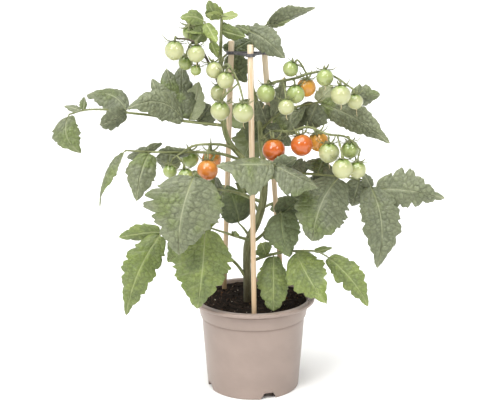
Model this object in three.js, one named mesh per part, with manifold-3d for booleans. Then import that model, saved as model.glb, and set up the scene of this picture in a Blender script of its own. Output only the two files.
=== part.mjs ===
// Cherry tomato plant in a 14 cm grower's pot, tied up with three canes and a clip.
// Millimetres, +Z up. The origin is the middle of the pot's underside; -Y is the front.

import * as THREE from 'three';
import { mergeVertices } from 'three/addons/utils/BufferGeometryUtils.js';
import Module from 'manifold-3d';

const wasm = await Module();
wasm.setup();

// ---------------------------------------------------------------- driving dimensions

const GAP = 0.3; // between neighbouring pieces

const POT = {
  rimRadius: 70,
  height: 105,
  mouthRadius: 63,
  wall: 1.6,
  baseRadius: 52,
  bodyTopRadius: 58.6,
  bodyTop: 86.5,
  collarRadius: [60.3, 62.6],
  flange: 4.2,
  centreRadius: 24, // flat middle of the underside
  channel: 8, // height of the ring channel between the middle and the foot
  channelSlope: 4, // how much wider the flat middle's wall gets up to the channel
  footInner: 49.1,
  floor: 2,
  edge: 0.8, // bevel of the foot and the rim
  step: 1.2, // height of the step under the collar
  segments: 32,
};
// openings through the foot: the first one's angle in degrees, and the width at the bottom and top
const NOTCH = { count: 4, first: 19.5, bottom: 18.5, top: 10.5, height: 7.4, flare: 0.6, depth: 12 };
const DRAIN = { count: 6, radius: 3.4, at: 37, sides: 8 };

const SOIL = { level: 98, mound: 1.6, crumb: 1.5, rings: 4, segments: 20 };

// point is the length of the cut point, blunt the length of its steep tip
const CANE = { radius: 3.15, point: 24, blunt: 4, edge: 0.8, bury: 20, sides: 10 };
// each cane: its place at the soil's level and at the clip, and its length above the clip
const CANES = {
  cane_front: { foot: [1, -52], head: [-3, -21], above: 11 },
  cane_left: { foot: [-34, 38], head: [-24, 10.5], above: 13 },
  cane_right: { foot: [34, 38], head: [12.3, 10.5], above: 9 },
};
const CLIP = { height: 378, thick: 3.6, collar: 5.4, bar: 2.6, sides: 12 };

const STEM = { foot: 4.6, fork: 4.2, arm: 3.5, tip: 1.5, sides: 7, steps: 9 };
const RACHIS = { root: 1.9, tip: 0.9, sides: 4 };
// neck is half the width at the blade's root, stalk its bare share, and lead and lobe how far along
// its lobe a notch and a lobe's tip come. blunt and drawn set where a blade with a blunt or a drawn-out
// tip is widest, and full and hollow how round its sides are and how they hollow towards the tip.
const BLADE = {
  thick: 0.9, neck: 0.85, stalk: 0.09, lead: 0.1, lobe: 0.72, ripple: 0.04, waves: 1.2,
  blunt: 0.76, drawn: 0.6, full: 0.62, hollow: 0.55,
};
const FRUIT = { segments: 8, rows: 6 };
const TRUSS = { root: 1.7, tip: 1, pedicel: 0.8, hub: 1.5, sides: 5, steps: 3 };
const CALYX = { thick: 1.5, reach: 0.85, rise: 0.32 }; // reach and rise by the fruit's radius

// ---------------------------------------------------------------- front elevation

// What grows is set out on the stem's plane, y = 0, as it looks from EYE. Each point is [x, z, depth]
// on that plane; its depth (negative towards the front) then moves it along its line of sight.
const EYE = { distance: 1113, height: 471 };

function nearness(depth) {
  return 1 + depth / EYE.distance;
}

function sighted([x, z, depth]) {
  const k = nearness(depth);
  return new THREE.Vector3(x * k, depth, EYE.height + (z - EYE.height) * k);
}

function curveThrough(points) {
  return new THREE.CatmullRomCurve3(points.map(sighted), false, 'catmullrom', 0.5);
}

// ---------------------------------------------------------------- solids

function solidOf(points, faces) {
  const positions = new Float32Array(points.length * 3);
  points.forEach((p, i) => p.toArray(positions, i * 3));
  let volume = 0;
  for (const [a, b, c] of faces) {
    volume += points[a].dot(new THREE.Vector3().crossVectors(points[b], points[c]));
  }
  const outward = volume > 0 ? faces : faces.map(([a, b, c]) => [a, c, b]);
  const mesh = new wasm.Mesh({
    numProp: 3,
    vertProperties: positions,
    triVerts: new Uint32Array(outward.flat()),
  });
  return new wasm.Manifold(mesh);
}

function solidOfGeometry(geometry) {
  geometry.deleteAttribute('normal');
  geometry.deleteAttribute('uv');
  const merged = mergeVertices(geometry, 1e-3);
  const position = merged.getAttribute('position');
  const points = [];
  for (let i = 0; i < position.count; i++) {
    points.push(new THREE.Vector3().fromBufferAttribute(position, i));
  }
  const index = merged.getIndex().array;
  const faces = [];
  for (let i = 0; i < index.length; i += 3) {
    const [a, b, c] = index.slice(i, i + 3);
    if (a !== b && b !== c && c !== a) faces.push([a, b, c]);
  }
  return solidOf(points, faces);
}

function geometryOf(solid) {
  const mesh = solid.getMesh();
  const geometry = new THREE.BufferGeometry();
  geometry.setAttribute('position', new THREE.BufferAttribute(mesh.vertProperties, mesh.numProp));
  geometry.setIndex(new THREE.BufferAttribute(mesh.triVerts, 1));
  geometry.computeVertexNormals();
  return geometry;
}

function joined(solids) {
  return solids.reduce((all, next) => all.add(next));
}

// the largest body of a solid, without the scraps that a cut leaves
function mainBody(solid) {
  return solid.decompose().reduce((best, next) => (next.volume() > best.volume() ? next : best));
}

// a profile of [radius, height] points, turned round the z axis
function turned(profile, segments) {
  const points = profile.map(([r, z]) => new THREE.Vector2(r, z));
  return new THREE.LatheGeometry(points, segments).rotateX(Math.PI / 2);
}

// the rings of points of a round tube along a curve, from radius `root` to radius `tip`
function ringPoints(curve, root, tip, sides, steps) {
  const points = [];
  let across = new THREE.Vector3(0.3, 0.2, 0.1);
  for (let i = 0; i <= steps; i++) {
    const t = i / steps;
    const along = curve.getTangent(t);
    across = across.clone().addScaledVector(along, -across.dot(along)).normalize();
    const other = new THREE.Vector3().crossVectors(along, across);
    const radius = root + (tip - root) * t;
    for (let j = 0; j < sides; j++) {
      const angle = (2 * Math.PI * j) / sides;
      const p = curve.getPoint(t).addScaledVector(across, radius * Math.cos(angle));
      points.push(p.addScaledVector(other, radius * Math.sin(angle)));
    }
  }
  return points;
}

// the faces between those rings, with the flat end at the root
function ringFaces(sides, steps) {
  const faces = [];
  for (let i = 0; i < steps; i++) {
    for (let j = 0; j < sides; j++) {
      const a = i * sides + j;
      const b = i * sides + ((j + 1) % sides);
      faces.push([a, b, b + sides], [a, b + sides, a + sides]);
    }
  }
  for (let j = 1; j < sides - 1; j++) faces.push([0, j + 1, j]);
  return faces;
}

function tube(curve, root, tip, sides, steps) {
  const faces = ringFaces(sides, steps);
  const last = steps * sides;
  for (let j = 1; j < sides - 1; j++) faces.push([last, last + j, last + j + 1]);
  return solidOf(ringPoints(curve, root, tip, sides, steps), faces);
}

function noise(seed) {
  const s = Math.sin(seed * 127.1 + 311.7) * 43758.5453;
  return s - Math.floor(s);
}

// ---------------------------------------------------------------- pot and soil

function innerWall(z) {
  const { baseRadius, bodyTopRadius, bodyTop, wall } = POT;
  return baseRadius - wall + ((bodyTopRadius - baseRadius) * z) / bodyTop;
}

function potSolid() {
  const p = POT;
  const floorTop = p.channel + p.floor;
  const body = solidOfGeometry(turned([
    [0, 0], [p.centreRadius, 0], [p.centreRadius + p.channelSlope, p.channel],
    [p.footInner - p.floor, p.channel], [p.footInner, 0],
    [p.baseRadius - p.edge, 0], [p.baseRadius, p.step],
    [p.bodyTopRadius, p.bodyTop], [p.collarRadius[0], p.bodyTop + p.step],
    [p.collarRadius[1], p.height - p.flange], [p.rimRadius - p.edge, p.height - p.flange],
    [p.rimRadius, p.height - p.flange + p.edge], [p.rimRadius - p.edge / 2, p.height],
    [p.mouthRadius, p.height], [p.collarRadius[1] - p.wall, p.height - p.flange],
    [p.collarRadius[0] - p.wall, p.bodyTop + p.step],
    [p.bodyTopRadius - p.wall, p.bodyTop - p.edge],
    [innerWall(floorTop), floorTop], [p.centreRadius + p.floor, floorTop],
    [p.centreRadius - p.floor, p.floor], [0, p.floor],
  ], p.segments));

  const cutters = [];
  for (let i = 0; i < NOTCH.count; i++) {
    const [low, high] = [NOTCH.bottom / 2 + NOTCH.flare, NOTCH.top / 2];
    const outline = new THREE.Shape([
      new THREE.Vector2(-low, -1), new THREE.Vector2(low, -1),
      new THREE.Vector2(high, NOTCH.height), new THREE.Vector2(-high, NOTCH.height),
    ]);
    const notch = new THREE.ExtrudeGeometry(outline, { depth: NOTCH.depth, bevelEnabled: false });
    notch.rotateX(Math.PI / 2).translate(0, -p.footInner + NOTCH.depth / 2, 0);
    notch.rotateZ(THREE.MathUtils.degToRad(NOTCH.first + (360 * i) / NOTCH.count));
    cutters.push(solidOfGeometry(notch));
  }
  for (let i = 0; i < DRAIN.count; i++) {
    const hole = new THREE.CylinderGeometry(DRAIN.radius, DRAIN.radius, 3 * p.floor, DRAIN.sides);
    hole.rotateX(Math.PI / 2).translate(DRAIN.at, 0, floorTop - p.floor / 2);
    hole.rotateZ((2 * Math.PI * (i + 0.5)) / DRAIN.count);
    cutters.push(solidOfGeometry(hole));
  }
  return body.subtract(joined(cutters));
}

// the soil fills the pot to just under its mouth, with a crumbly, slightly mounded top
function soilSolid(stands) {
  const p = POT;
  const floorTop = p.channel + p.floor + GAP;
  const mouth = p.collarRadius[1] - p.wall - 1.4;
  const profile = [
    [0, p.floor + GAP], [p.centreRadius - p.floor - GAP, p.floor + GAP],
    [p.centreRadius + p.floor - GAP, floorTop], [innerWall(floorTop) - GAP, floorTop],
    [p.bodyTopRadius - p.wall - 1.3 * GAP, p.bodyTop],
    [p.collarRadius[0] - p.wall - 1.7 * GAP, p.bodyTop + 2 * p.step],
  ];
  for (let i = 0; i <= SOIL.rings; i++) {
    const share = i / SOIL.rings;
    profile.push([mouth * (1 - share), SOIL.level - 1 + SOIL.mound * share]);
  }
  const geometry = turned(profile, SOIL.segments);
  const position = geometry.getAttribute('position');
  for (let i = 0; i < position.count; i++) {
    const [x, y, z] = [position.getX(i), position.getY(i), position.getZ(i)];
    if (z < SOIL.level - 2) continue;
    const lump = noise(Math.round(x * 3) * 0.37 + Math.round(y * 3) * 1.91) - 0.5;
    position.setZ(i, z + 2 * SOIL.crumb * lump);
  }
  return mainBody(solidOfGeometry(geometry).subtract(stands));
}

// ---------------------------------------------------------------- canes and clip

function caneLine({ foot, head, above }) {
  const low = new THREE.Vector3(foot[0], foot[1], SOIL.level);
  const high = new THREE.Vector3(head[0], head[1], CLIP.height);
  const along = high.clone().sub(low).normalize();
  return {
    along,
    bottom: low.clone().addScaledVector(along, -CANE.bury),
    length: low.distanceTo(high) + CANE.bury + above,
  };
}

function caneGeometry(cane, grow = 0) {
  const { length } = caneLine(cane);
  const { radius, point, blunt, edge, sides } = CANE;
  const r = radius + grow;
  return turned([
    [0, -grow], [r * 0.35, blunt], [r, point], [r, length - edge], [r - edge, length], [0, length],
  ], sides);
}

function caneTurn(cane) {
  return new THREE.Quaternion().setFromUnitVectors(new THREE.Vector3(0, 0, 1), caneLine(cane).along);
}

function caneSolid(cane, grow) {
  const geometry = caneGeometry(cane, grow).applyQuaternion(caneTurn(cane));
  const { bottom } = caneLine(cane);
  return solidOfGeometry(geometry.translate(bottom.x, bottom.y, bottom.z));
}

// three collars on the canes, joined by three straight bars
function clipSolid() {
  const heads = Object.values(CANES).map(({ head }) => new THREE.Vector2(...head));
  const pieces = [];
  heads.forEach((head, i) => {
    const collar = new THREE.CylinderGeometry(CLIP.collar, CLIP.collar, CLIP.thick, CLIP.sides);
    collar.rotateX(Math.PI / 2).translate(head.x, head.y, CLIP.height);
    const next = heads[(i + 1) % heads.length];
    const middle = head.clone().add(next).multiplyScalar(0.5);
    const bar = new THREE.BoxGeometry(head.distanceTo(next), CLIP.bar, CLIP.thick - 0.8);
    bar.rotateZ(next.clone().sub(head).angle()).translate(middle.x, middle.y, CLIP.height);
    pieces.push(solidOfGeometry(collar), solidOfGeometry(bar));
  });
  const canes = Object.values(CANES).map((cane) => caneSolid(cane, GAP));
  return joined(pieces).subtract(joined(canes));
}

// ---------------------------------------------------------------- stem

const STEM_PATH = [
  [-7, 52, 0], [-6, 95, 0], [-7, 152, -2], [-4, 172, -3], [5, 192, -3], [11, 215, -2], [13, 245, 0],
];
const BRANCHES = [
  [
    [13, 240, 0], [-10, 262, 0], [-27, 283, 0], [-33, 305, 0],
    [-36, 330, 0], [-35, 380, -1], [-33.5, 417, -3],
  ],
  [
    [12.5, 236, 0], [11, 262, 1], [8, 290, 1], [6, 318, 1],
    [-1, 342, 3], [-3, 370, 4], [-1, 396, 0],
  ],
];

// `grow` makes the same stem thicker all round, to cut a seat for what grows from it
function stemTubes(grow = 0) {
  const { foot, fork, arm, tip, sides, steps } = STEM;
  const trunk = tube(curveThrough(STEM_PATH), foot + grow, fork + grow, sides, steps);
  const arms = BRANCHES.map((path) =>
    tube(curveThrough(path), arm + grow, tip + grow, sides - 1, steps));
  return joined([trunk, ...arms]);
}

// ---------------------------------------------------------------- leaves

// how wide a leaflet is at a share v of its blade, from 0 at its base to 1 at its tip; taper 1 gives
// it a drawn-out tip and taper 0 a blunt one
function bladeShape(v, taper) {
  const early = BLADE.blunt + (BLADE.drawn - BLADE.blunt) * taper;
  return Math.sin(Math.PI * v ** early) ** (BLADE.full + BLADE.hollow * v * taper);
}

// A leaflet from `base` to `tip`. roll 0 turns its upper face to the front and 180 its underside. sway
// bends the midrib to the right-hand side, bow arches it towards that face, fold drops the two halves
// away from it, and cut is the depth of its notches.
function leafletSolid(base, tip, width, roll, lobes = 3, form = {}) {
  const { sway = 0, bow = 0.06, fold = 0.22, cut = 0.1, taper = 1 } = form;
  const chord = tip.clone().sub(base);
  const length = chord.length();
  const along = chord.clone().normalize();
  const middle = base.clone().addScaledVector(chord, 0.5);
  const face = new THREE.Vector3(0, -EYE.distance, EYE.height).sub(middle);
  face.addScaledVector(along, -face.dot(along)).normalize();
  face.applyAxisAngle(along, THREE.MathUtils.degToRad(roll));
  const side = new THREE.Vector3().crossVectors(along, face);

  // a point of the blade's middle surface: v along the blade, u across it from -1 to 1
  function at(v, u, half) {
    const s = BLADE.stalk + (1 - BLADE.stalk) * v;
    const arch = length * 4 * s * (1 - s);
    const phase = 2 * Math.PI * BLADE.waves * v + (u < 0 ? 2 : 0);
    const wave = BLADE.ripple * width * Math.abs(u) * Math.sin(phase);
    const p = base.clone().addScaledVector(along, length * s);
    p.addScaledVector(side, half * u + sway * arch);
    return p.addScaledVector(face, bow * arch - fold * half * Math.abs(u) + wave);
  }

  const rim = (v) => (width / 2) * bladeShape(v, taper);
  const rows = [[-BLADE.neck, BLADE.neck].map((shift) => base.clone().addScaledVector(side, shift))];
  const middles = [];
  for (let k = 0; k < lobes; k++) {
    const v = k / lobes;
    const notch = k === 0 ? BLADE.neck : rim(v) * (1 - cut);
    const lead = k === 0 ? 0 : BLADE.lead / lobes;
    middles.push(at(v, 0, 0));
    rows.push([at(v + lead, -1, notch), at(v + lead, 1, notch)]);
    const out = rim((k + 0.5) / lobes);
    const lobe = (k + BLADE.lobe) / lobes;
    rows.push([at(lobe, -1, out), at(lobe, 1, out)]);
  }
  const apex = at(1, 0, 0);

  const flat = [...rows.flat(), ...middles, apex];
  const [count, firstMiddle, top] = [flat.length, rows.length * 2, flat.length - 1];
  const faces = [[0, 1, 3], [0, 3, firstMiddle], [0, firstMiddle, 2]];
  for (let k = 0; k < lobes; k++) {
    const notch = 2 + 4 * k;
    const lobe = notch + 2;
    const here = firstMiddle + k;
    const next = k === lobes - 1 ? top : here + 1;
    faces.push([notch, here, lobe], [here, next, lobe]);
    faces.push([here, notch + 1, lobe + 1], [here, lobe + 1, next]);
    if (k < lobes - 1) faces.push([lobe, next, lobe + 2], [next, lobe + 1, lobe + 3]);
  }
  const edge = [];
  for (let i = 0; i < rows.length; i++) edge.push(2 * i);
  edge.push(top);
  for (let i = rows.length - 1; i >= 0; i--) edge.push(2 * i + 1);
  const points = [BLADE.thick / 2, -BLADE.thick / 2].flatMap((h) =>
    flat.map((p) => p.clone().addScaledVector(face, h)));
  const all = [...faces, ...faces.map(([a, b, c]) => [a + count, c + count, b + count])];
  edge.forEach((a, i) => {
    const b = edge[(i + 1) % edge.length];
    all.push([a, b, b + count], [a, b + count, a + count]);
  });
  return solidOf(points, all);
}

// Leaves from the top of the plant down. spine is the leaf's stalk, from inside the stem outwards.
// Each leaflet is [place on the spine by its points, tip, width, roll, lobes, its form].
const DULL = 0x6f7f60;
const DARK = 0x4c5f3c;
const FRESH = 0x7d9a52;
const LEAVES = {
  leaf_top_left: {
    colour: FRESH,
    spine: [[-37, 374, -2], [-43, 387, -7], [-48, 398, -10], [-52, 412, -12]],
    leaflets: [
      [3, [-78, 416, -22], 17, 20, 2, { sway: 0.1 }],
      [2.9, [-66, 388, -16], 20, -8, 2, { sway: -0.08 }],
      [2.9, [-39, 390, -22], 16, -15, 2, { cut: 0.2 }],
      [1.4, [-38, 374, -10], 12, 20, 2],
      [2.2, [-75, 400, -18], 9, 60, 2],
    ],
  },
  leaf_top_right: {
    colour: DULL,
    spine: [[-1, 384, 2], [-2, 398, -4], [-5, 402, -9]],
    leaflets: [
      [2, [34, 373, -30], 31, 8, 3, { sway: -0.08, bow: 0.1 }],
      [1.5, [-19, 408, 4], 12, 20, 2, { cut: 0.2 }],
      [1, [-7, 408, 2], 13, -10, 2, { cut: 0.2 }],
    ],
  },
  leaf_top_narrow: {
    colour: DULL,
    spine: [[-3, 374, 4], [5, 400, 10], [11, 406, 11], [15, 409, 8]],
    leaflets: [
      [3, [66, 427, 0], 28, 52, 4, { sway: -0.15, bow: 0.1, cut: 0.16 }],
      [1.6, [0, 407, 2], 12, 40, 2],
      [2.8, [40, 414, -2], 12, 30, 2, { cut: 0.2 }],
    ],
  },
  leaf_behind_clip: {
    colour: DARK,
    spine: [[-35, 362, 0], [-32, 374, 16], [-22, 381, 26]],
    leaflets: [
      [2, [-3, 392, 32], 24, -10, 2],
      [1.6, [-24, 392, 24], 16, 10, 2],
      [1.7, [-7, 347, 24], 28, 10, 3, { sway: 0.06 }],
    ],
  },
  leaf_upper_left: {
    colour: DULL,
    spine: [
      [-34, 300, 0], [-70, 304, -6], [-92, 307, -9], [-112, 311, -12],
      [-138, 314, -17], [-158, 317, -21], [-182, 317, -25], [-201, 312, -27],
    ],
    leaflets: [
      [7, [-190, 269, -38], 31, 5, 3, { sway: 0.2, bow: 0.1, fold: 0.3 }],
      [6.3, [-206, 321, -20], 10, 30, 2],
      [6.2, [-184, 331, -16], 9, 20, 2],
      [4, [-181, 333, -4], 34, 38, 3, { sway: 0.22, fold: 0.3, taper: 0.4 }],
      [4, [-168, 301, -36], 27, -28, 2, { taper: 0.4 }],
      [1.2, [-138, 318, -36], 34, 10, 4, { sway: 0.2, cut: 0.08 }],
      [1.7, [-110, 351, 4], 32, -15, 3, { cut: 0.16 }],
      [1, [-59, 348, 6], 30, 160, 3],
      [1.35, [-77, 366, 20], 32, 0, 3],
      [0.7, [-47, 323, 16], 32, 0, 3],
      [1.5, [-94, 362, 12], 34, 6, 3],
    ],
  },
  leaf_mid_left: {
    colour: DULL,
    spine: [
      [-6, 258, 0], [-24, 265, -4], [-40, 269, -7],
      [-60, 270, -10], [-100, 270, -15], [-141, 272, -20],
    ],
    leaflets: [
      [5, [-171, 209, -34], 27, 70, 4, { sway: 0.02, bow: 0.1 }],
      [4.35, [-130, 215, -38], 33, 0, 3, { sway: 0.05, bow: 0.1, cut: 0.05 }],
      [4.3, [-139, 264, 2], 18, 30, 2],
      [4.5, [-100, 280, -4], 13, 40, 2],
      [3.8, [-95, 246, 2], 30, 0, 3],
      [3.3, [-105, 271, -2], 20, -50, 2],
    ],
  },
  leaf_centre_left: {
    colour: DULL,
    spine: [[9, 214, -3], [-20, 225, -24], [-44, 230, -58], [-64, 247, -80]],
    leaflets: [
      [3, [-84, 153, -96], 80, 0, 5, { sway: 0.06, bow: 0.12, fold: 0.2, cut: 0.24 }],
      [2, [-35, 227, -22], 30, -20, 3],
    ],
  },
  leaf_lower_left: {
    colour: FRESH,
    spine: [[-7, 124, 0], [-20, 143, -8], [-45, 163, -18], [-75, 176, -30], [-102, 180, -42]],
    leaflets: [
      [4, [-145, 81, -60], 40, 6, 5, { sway: 0.05, bow: 0.12, cut: 0.15 }],
      [4, [-151, 173, -34], 22, -20, 2, { sway: 0.05 }],
      [3, [-39, 195, -22], 20, 20, 2, { cut: 0.16 }],
      [2.9, [-96, 144, -14], 28, 0, 3],
    ],
  },
  leaf_front_left: {
    colour: FRESH,
    spine: [[-4, 170, -4], [-18, 174, -22], [-36, 180, -40], [-54, 186, -50]],
    leaflets: [
      [3, [-64, 89, -84], 64, -5, 5, { sway: -0.01, taper: 0.8, bow: 0.1, fold: 0.2 }],
      [1.2, [-19, 180, -36], 10, 0, 2],
    ],
  },
  leaf_inner_left: {
    colour: DARK,
    spine: [[-4, 174, -1], [-11, 184, 6], [-16, 189, 10]],
    leaflets: [
      [2, [-29, 233, 12], 40, 0, 4, { sway: 0.05, cut: 0.05 }],
    ],
  },
  leaf_centre: {
    colour: DULL,
    spine: [[12, 232, 0], [17, 241, -28], [24, 257, -56]],
    leaflets: [
      [2, [-40, 255, -74], 54, 50, 3, { sway: -0.06, bow: 0.05, fold: 0.5, cut: 0.08 }],
      [1.9, [71, 230, -64], 40, -46, 3, { sway: 0.06, fold: 0.5, cut: 0.08 }],
      [1.6, [48, 264, -44], 24, 30, 2],
    ],
  },
  leaf_upper_right: {
    colour: DULL,
    spine: [[8, 294, 1], [22, 308, 2], [40, 318, -2], [70, 325, -5], [105, 331, -5]],
    leaflets: [
      [3, [150, 280, -26], 34, 16, 4, { sway: -0.07, bow: 0.04, cut: 0.04 }],
      [4, [138, 334, -2], 26, 25, 2, { cut: 0.16 }],
      [3, [86, 344, -2], 22, 150, 2],
      [2.1, [39, 289, -2], 40, 10, 3, { cut: 0.16, taper: 0.4 }],
      [2.6, [36, 286, -14], 20, 66, 2],
      [0.5, [5, 327, -4], 22, 10, 2, { cut: 0.2 }],
      [3, [59, 298, -10], 38, 10, 3, { taper: 0.5 }],
      [1, [34, 353, 2], 20, 20, 2, { cut: 0.2 }],
      [0.3, [43, 278, 2], 24, 0, 2],
    ],
  },
  leaf_mid_right: {
    colour: DULL,
    spine: [
      [12, 240, 0], [50, 246, -8], [90, 243, -22],
      [111, 241, -26], [126, 237, -30], [132, 229, -34],
    ],
    leaflets: [
      [2.2, [66, 169, -64], 62, 0, 5, { sway: 0.08, bow: 0.12, fold: 0.2, taper: 0.3, cut: 0.12 }],
      [4.3, [140, 137, -60], 45, 0, 4, { sway: -0.1, bow: 0.12, cut: 0.16 }],
      [5, [213, 218, -46], 45, 10, 5, { sway: -0.05, cut: 0.32 }],
      [3.4, [110, 209, -12], 30, 0, 3],
      [1.5, [78, 264, -2], 40, 0, 3],
      [1.2, [38, 258, 8], 26, 0, 2],
      [4.9, [121, 247, -30], 13, 10, 2],
      [2.2, [55, 232, 6], 30, 0, 3],
    ],
  },
  leaf_low_right: {
    colour: FRESH,
    spine: [[-6, 144, 0], [20, 153, -14], [45, 157, -26], [70, 157, -38], [83, 151, -44]],
    leaflets: [
      [2.1, [83, 95, -78], 46, 0, 4, { sway: 0.03, bow: 0.1, cut: 0.16 }],
      [3.9, [131, 92, -60], 30, 12, 4, { sway: -0.08, cut: 0.24, taper: 0.8 }],
      [1.1, [23, 86, -52], 36, 0, 4, { bow: 0.1, taper: 0.15, cut: 0.12 }],
      [2.9, [89, 161, -32], 9, 30, 2],
      [0.8, [9, 167, -24], 22, 10, 2, { taper: 0.5 }],
    ],
  },
  leaf_inner_right: {
    colour: DARK,
    spine: [[-3, 166, -3], [10, 176, -4], [22, 192, -10], [31, 203, -18]],
    leaflets: [
      [3, [41, 150, -36], 42, 0, 3, { sway: 0.05, bow: 0.1, cut: 0.06 }],
      [2.4, [58, 216, -4], 34, -10, 3],
      [1, [31, 172, 6], 18, 140, 2],
    ],
  },
  leaf_back_high: {
    colour: DARK,
    spine: [[8, 300, 1], [5, 312, 22], [12, 318, 52], [12, 314, 84], [6, 304, 110]],
    leaflets: [
      [4, [-10, 262, 138], 44, 180, 3, { bow: -0.1 }],
      [3, [60, 304, 100], 34, 180, 3],
      [2.9, [-40, 306, 96], 34, 180, 3],
      [1.8, [44, 300, 50], 28, 180, 3],
      [1.8, [-22, 318, 56], 26, 180, 2],
      [0.7, [-14, 324, 10], 26, 10, 2],
      [0.6, [-4, 279, 14], 30, 0, 3],
    ],
  },
  leaf_back_left: {
    colour: DARK,
    spine: [[7, 202, -2], [-8, 222, 32], [-40, 232, 58], [-70, 230, 84]],
    leaflets: [
      [3, [-94, 176, 116], 46, 180, 3, { bow: -0.1 }],
      [2, [-92, 236, 46], 34, 180, 3],
      [2, [-28, 206, 92], 36, 180, 3],
      [1.1, [-6, 248, 44], 24, 180, 2],
    ],
  },
  leaf_back_right: {
    colour: DARK,
    spine: [[5, 190, -2], [10, 206, 30], [40, 218, 62], [72, 214, 86]],
    leaflets: [
      [3, [78, 176, 112], 46, 180, 3, { bow: -0.1 }],
      [2, [96, 226, 48], 34, 180, 3],
      [2, [30, 190, 92], 36, 180, 3],
      [1.4, [66, 196, 46], 24, 180, 2],
    ],
  },
};

function leafSolid({ spine, leaflets }, stem) {
  const curve = curveThrough(spine);
  const last = spine.length - 1;
  const stalk = tube(curve, RACHIS.root, RACHIS.tip, RACHIS.sides, last + 2);
  const blades = leaflets.map(([place, tip, ...shape]) =>
    leafletSolid(curve.getPoint(place / last), sighted(tip), ...shape));
  return mainBody(joined([stalk, ...blades]).subtract(stem));
}

// The young leaf at the shoot's tip is one with the stem.
const SHOOT_TIP = {
  spine: [[-34, 402, -2], [-33, 411, -2], [-34, 417, -3]],
  leaflets: [
    [2, [-48, 434, -8], 20, 12, 2, { sway: -0.15 }],
    [2, [-16, 419, -6], 14, 140, 2],
    [1.9, [-50, 420, -12], 13, 150, 2],
    [0.4, [-26, 408, -4], 11, 0, 2],
    [0.1, [-8, 396, -17], 15, 10, 2],
    [0.2, [-18, 405, -10], 12, 10, 2],
  ],
};

// ---------------------------------------------------------------- trusses and fruit

const GREEN = 0x9db25f;
const PALE = 0xc6cf9a;
const TURNING = 0xe08a35;
const RIPE = 0xdb5524;
// Each truss has its stalk, from inside the stem outwards, and its fruits as
// [place on the stalk, centre, diameter, colour].
const TRUSSES = {
  truss_top: {
    stalk: [[-36, 343, 0], [-47, 366, -12], [-58, 386, -20], [-70, 393, -18], [-82, 394, -18]],
    fruits: [
      [4, [-85, 381, -29], 21.5, PALE],
      [3, [-67, 401, 6], 18, GREEN],
      [2.4, [-61.5, 377.5, -28], 19, PALE],
      [2.6, [-73, 368, -8], 16, GREEN],
      [1.4, [-62, 360, -22], 12, GREEN],
      [0.8, [-42, 360, -26], 18.5, PALE],
    ],
  },
  truss_upper_left: {
    stalk: [[-36, 358, 0], [-29, 366, -14], [-24, 362, -30], [-16, 346, -44], [-12, 332, -50]],
    fruits: [
      [2, [-30, 349, -37], 19, PALE],
      [0.9, [-37.5, 336, -17], 18, PALE],
      [3, [-36, 316, -36], 21.5, PALE],
      [4, [-11, 314, -50], 23, PALE],
    ],
  },
  truss_upper_right: {
    stalk: [
      [2, 334, 2], [20, 346, -10], [44, 351, -18], [58, 356, -18],
      [76, 358, -15], [92, 351, -22], [103, 343, -26],
    ],
    fruits: [
      [3, [40.4, 361.5, -22], 17, GREEN],
      [3.1, [57.6, 341.5, -8], 21, TURNING],
      [4, [77.7, 352, -32], 19, GREEN],
      [5, [95.3, 333, -48], 22, PALE],
      [6, [111, 326, -33], 17.5, PALE],
      [1, [14, 335, -22], 20.5, GREEN],
      [1.9, [46, 334, -29], 20.5, GREEN],
      [1.5, [36, 320, -46], 18, PALE],
    ],
  },
  truss_lower_right: {
    stalk: [
      [9, 284, 0], [21, 293, -14], [41, 293, -28], [60, 298, -36],
      [82, 290, -38], [102, 287, -38], [118, 273, -46],
    ],
    fruits: [
      [1, [22.8, 272.5, -34], 25, RIPE],
      [2, [53.3, 278, -42], 24.5, RIPE],
      [3, [71.8, 282, -22], 22.5, TURNING],
      [4, [83.5, 269.5, -41], 23.5, PALE],
      [5, [106.8, 273, -35], 20, GREEN],
      [4.5, [98.7, 251.6, -60], 23, PALE],
      [6, [115, 250.5, -46], 20, PALE],
    ],
  },
  truss_lower_left: {
    stalk: [[-19, 273, 0], [-32, 278, -14], [-48, 279, -20], [-66, 277, -20], [-84, 266, -26]],
    fruits: [
      [2, [-50.5, 250, -49], 23.5, TURNING],
      [2, [-46, 262, 9], 21.5, TURNING],
      [3, [-70, 263, 8], 20, GREEN],
      [4, [-92, 249, -24], 16, GREEN],
      [4, [-74.5, 243, -38], 18, GREEN],
    ],
  },
};

// where a fruit hangs: its centre, its radius, and the way from its centre to its calyx
function hanging(curve, last, [place, centre, diameter]) {
  const middle = sighted(centre);
  const radius = (diameter / 2) * nearness(centre[2]);
  const from = curve.getPoint(place / last);
  const up = from.clone().sub(middle).normalize().add(new THREE.Vector3(0, 0, 1.6)).normalize();
  return { middle, radius, from, up };
}

function fruitMesh(name, colour, { middle, radius, up }) {
  const profile = [];
  for (let i = 0; i <= FRUIT.rows; i++) {
    const angle = Math.PI * (i / FRUIT.rows - 0.5);
    profile.push([i % FRUIT.rows ? radius * Math.cos(angle) : 0, radius * Math.sin(angle)]);
  }
  const round = solidOfGeometry(turned(profile, FRUIT.segments));
  const mesh = piece(name, round, colour, 0.25);
  mesh.position.copy(middle);
  mesh.quaternion.setFromUnitVectors(new THREE.Vector3(0, 0, 1), up);
  return mesh;
}

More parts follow.
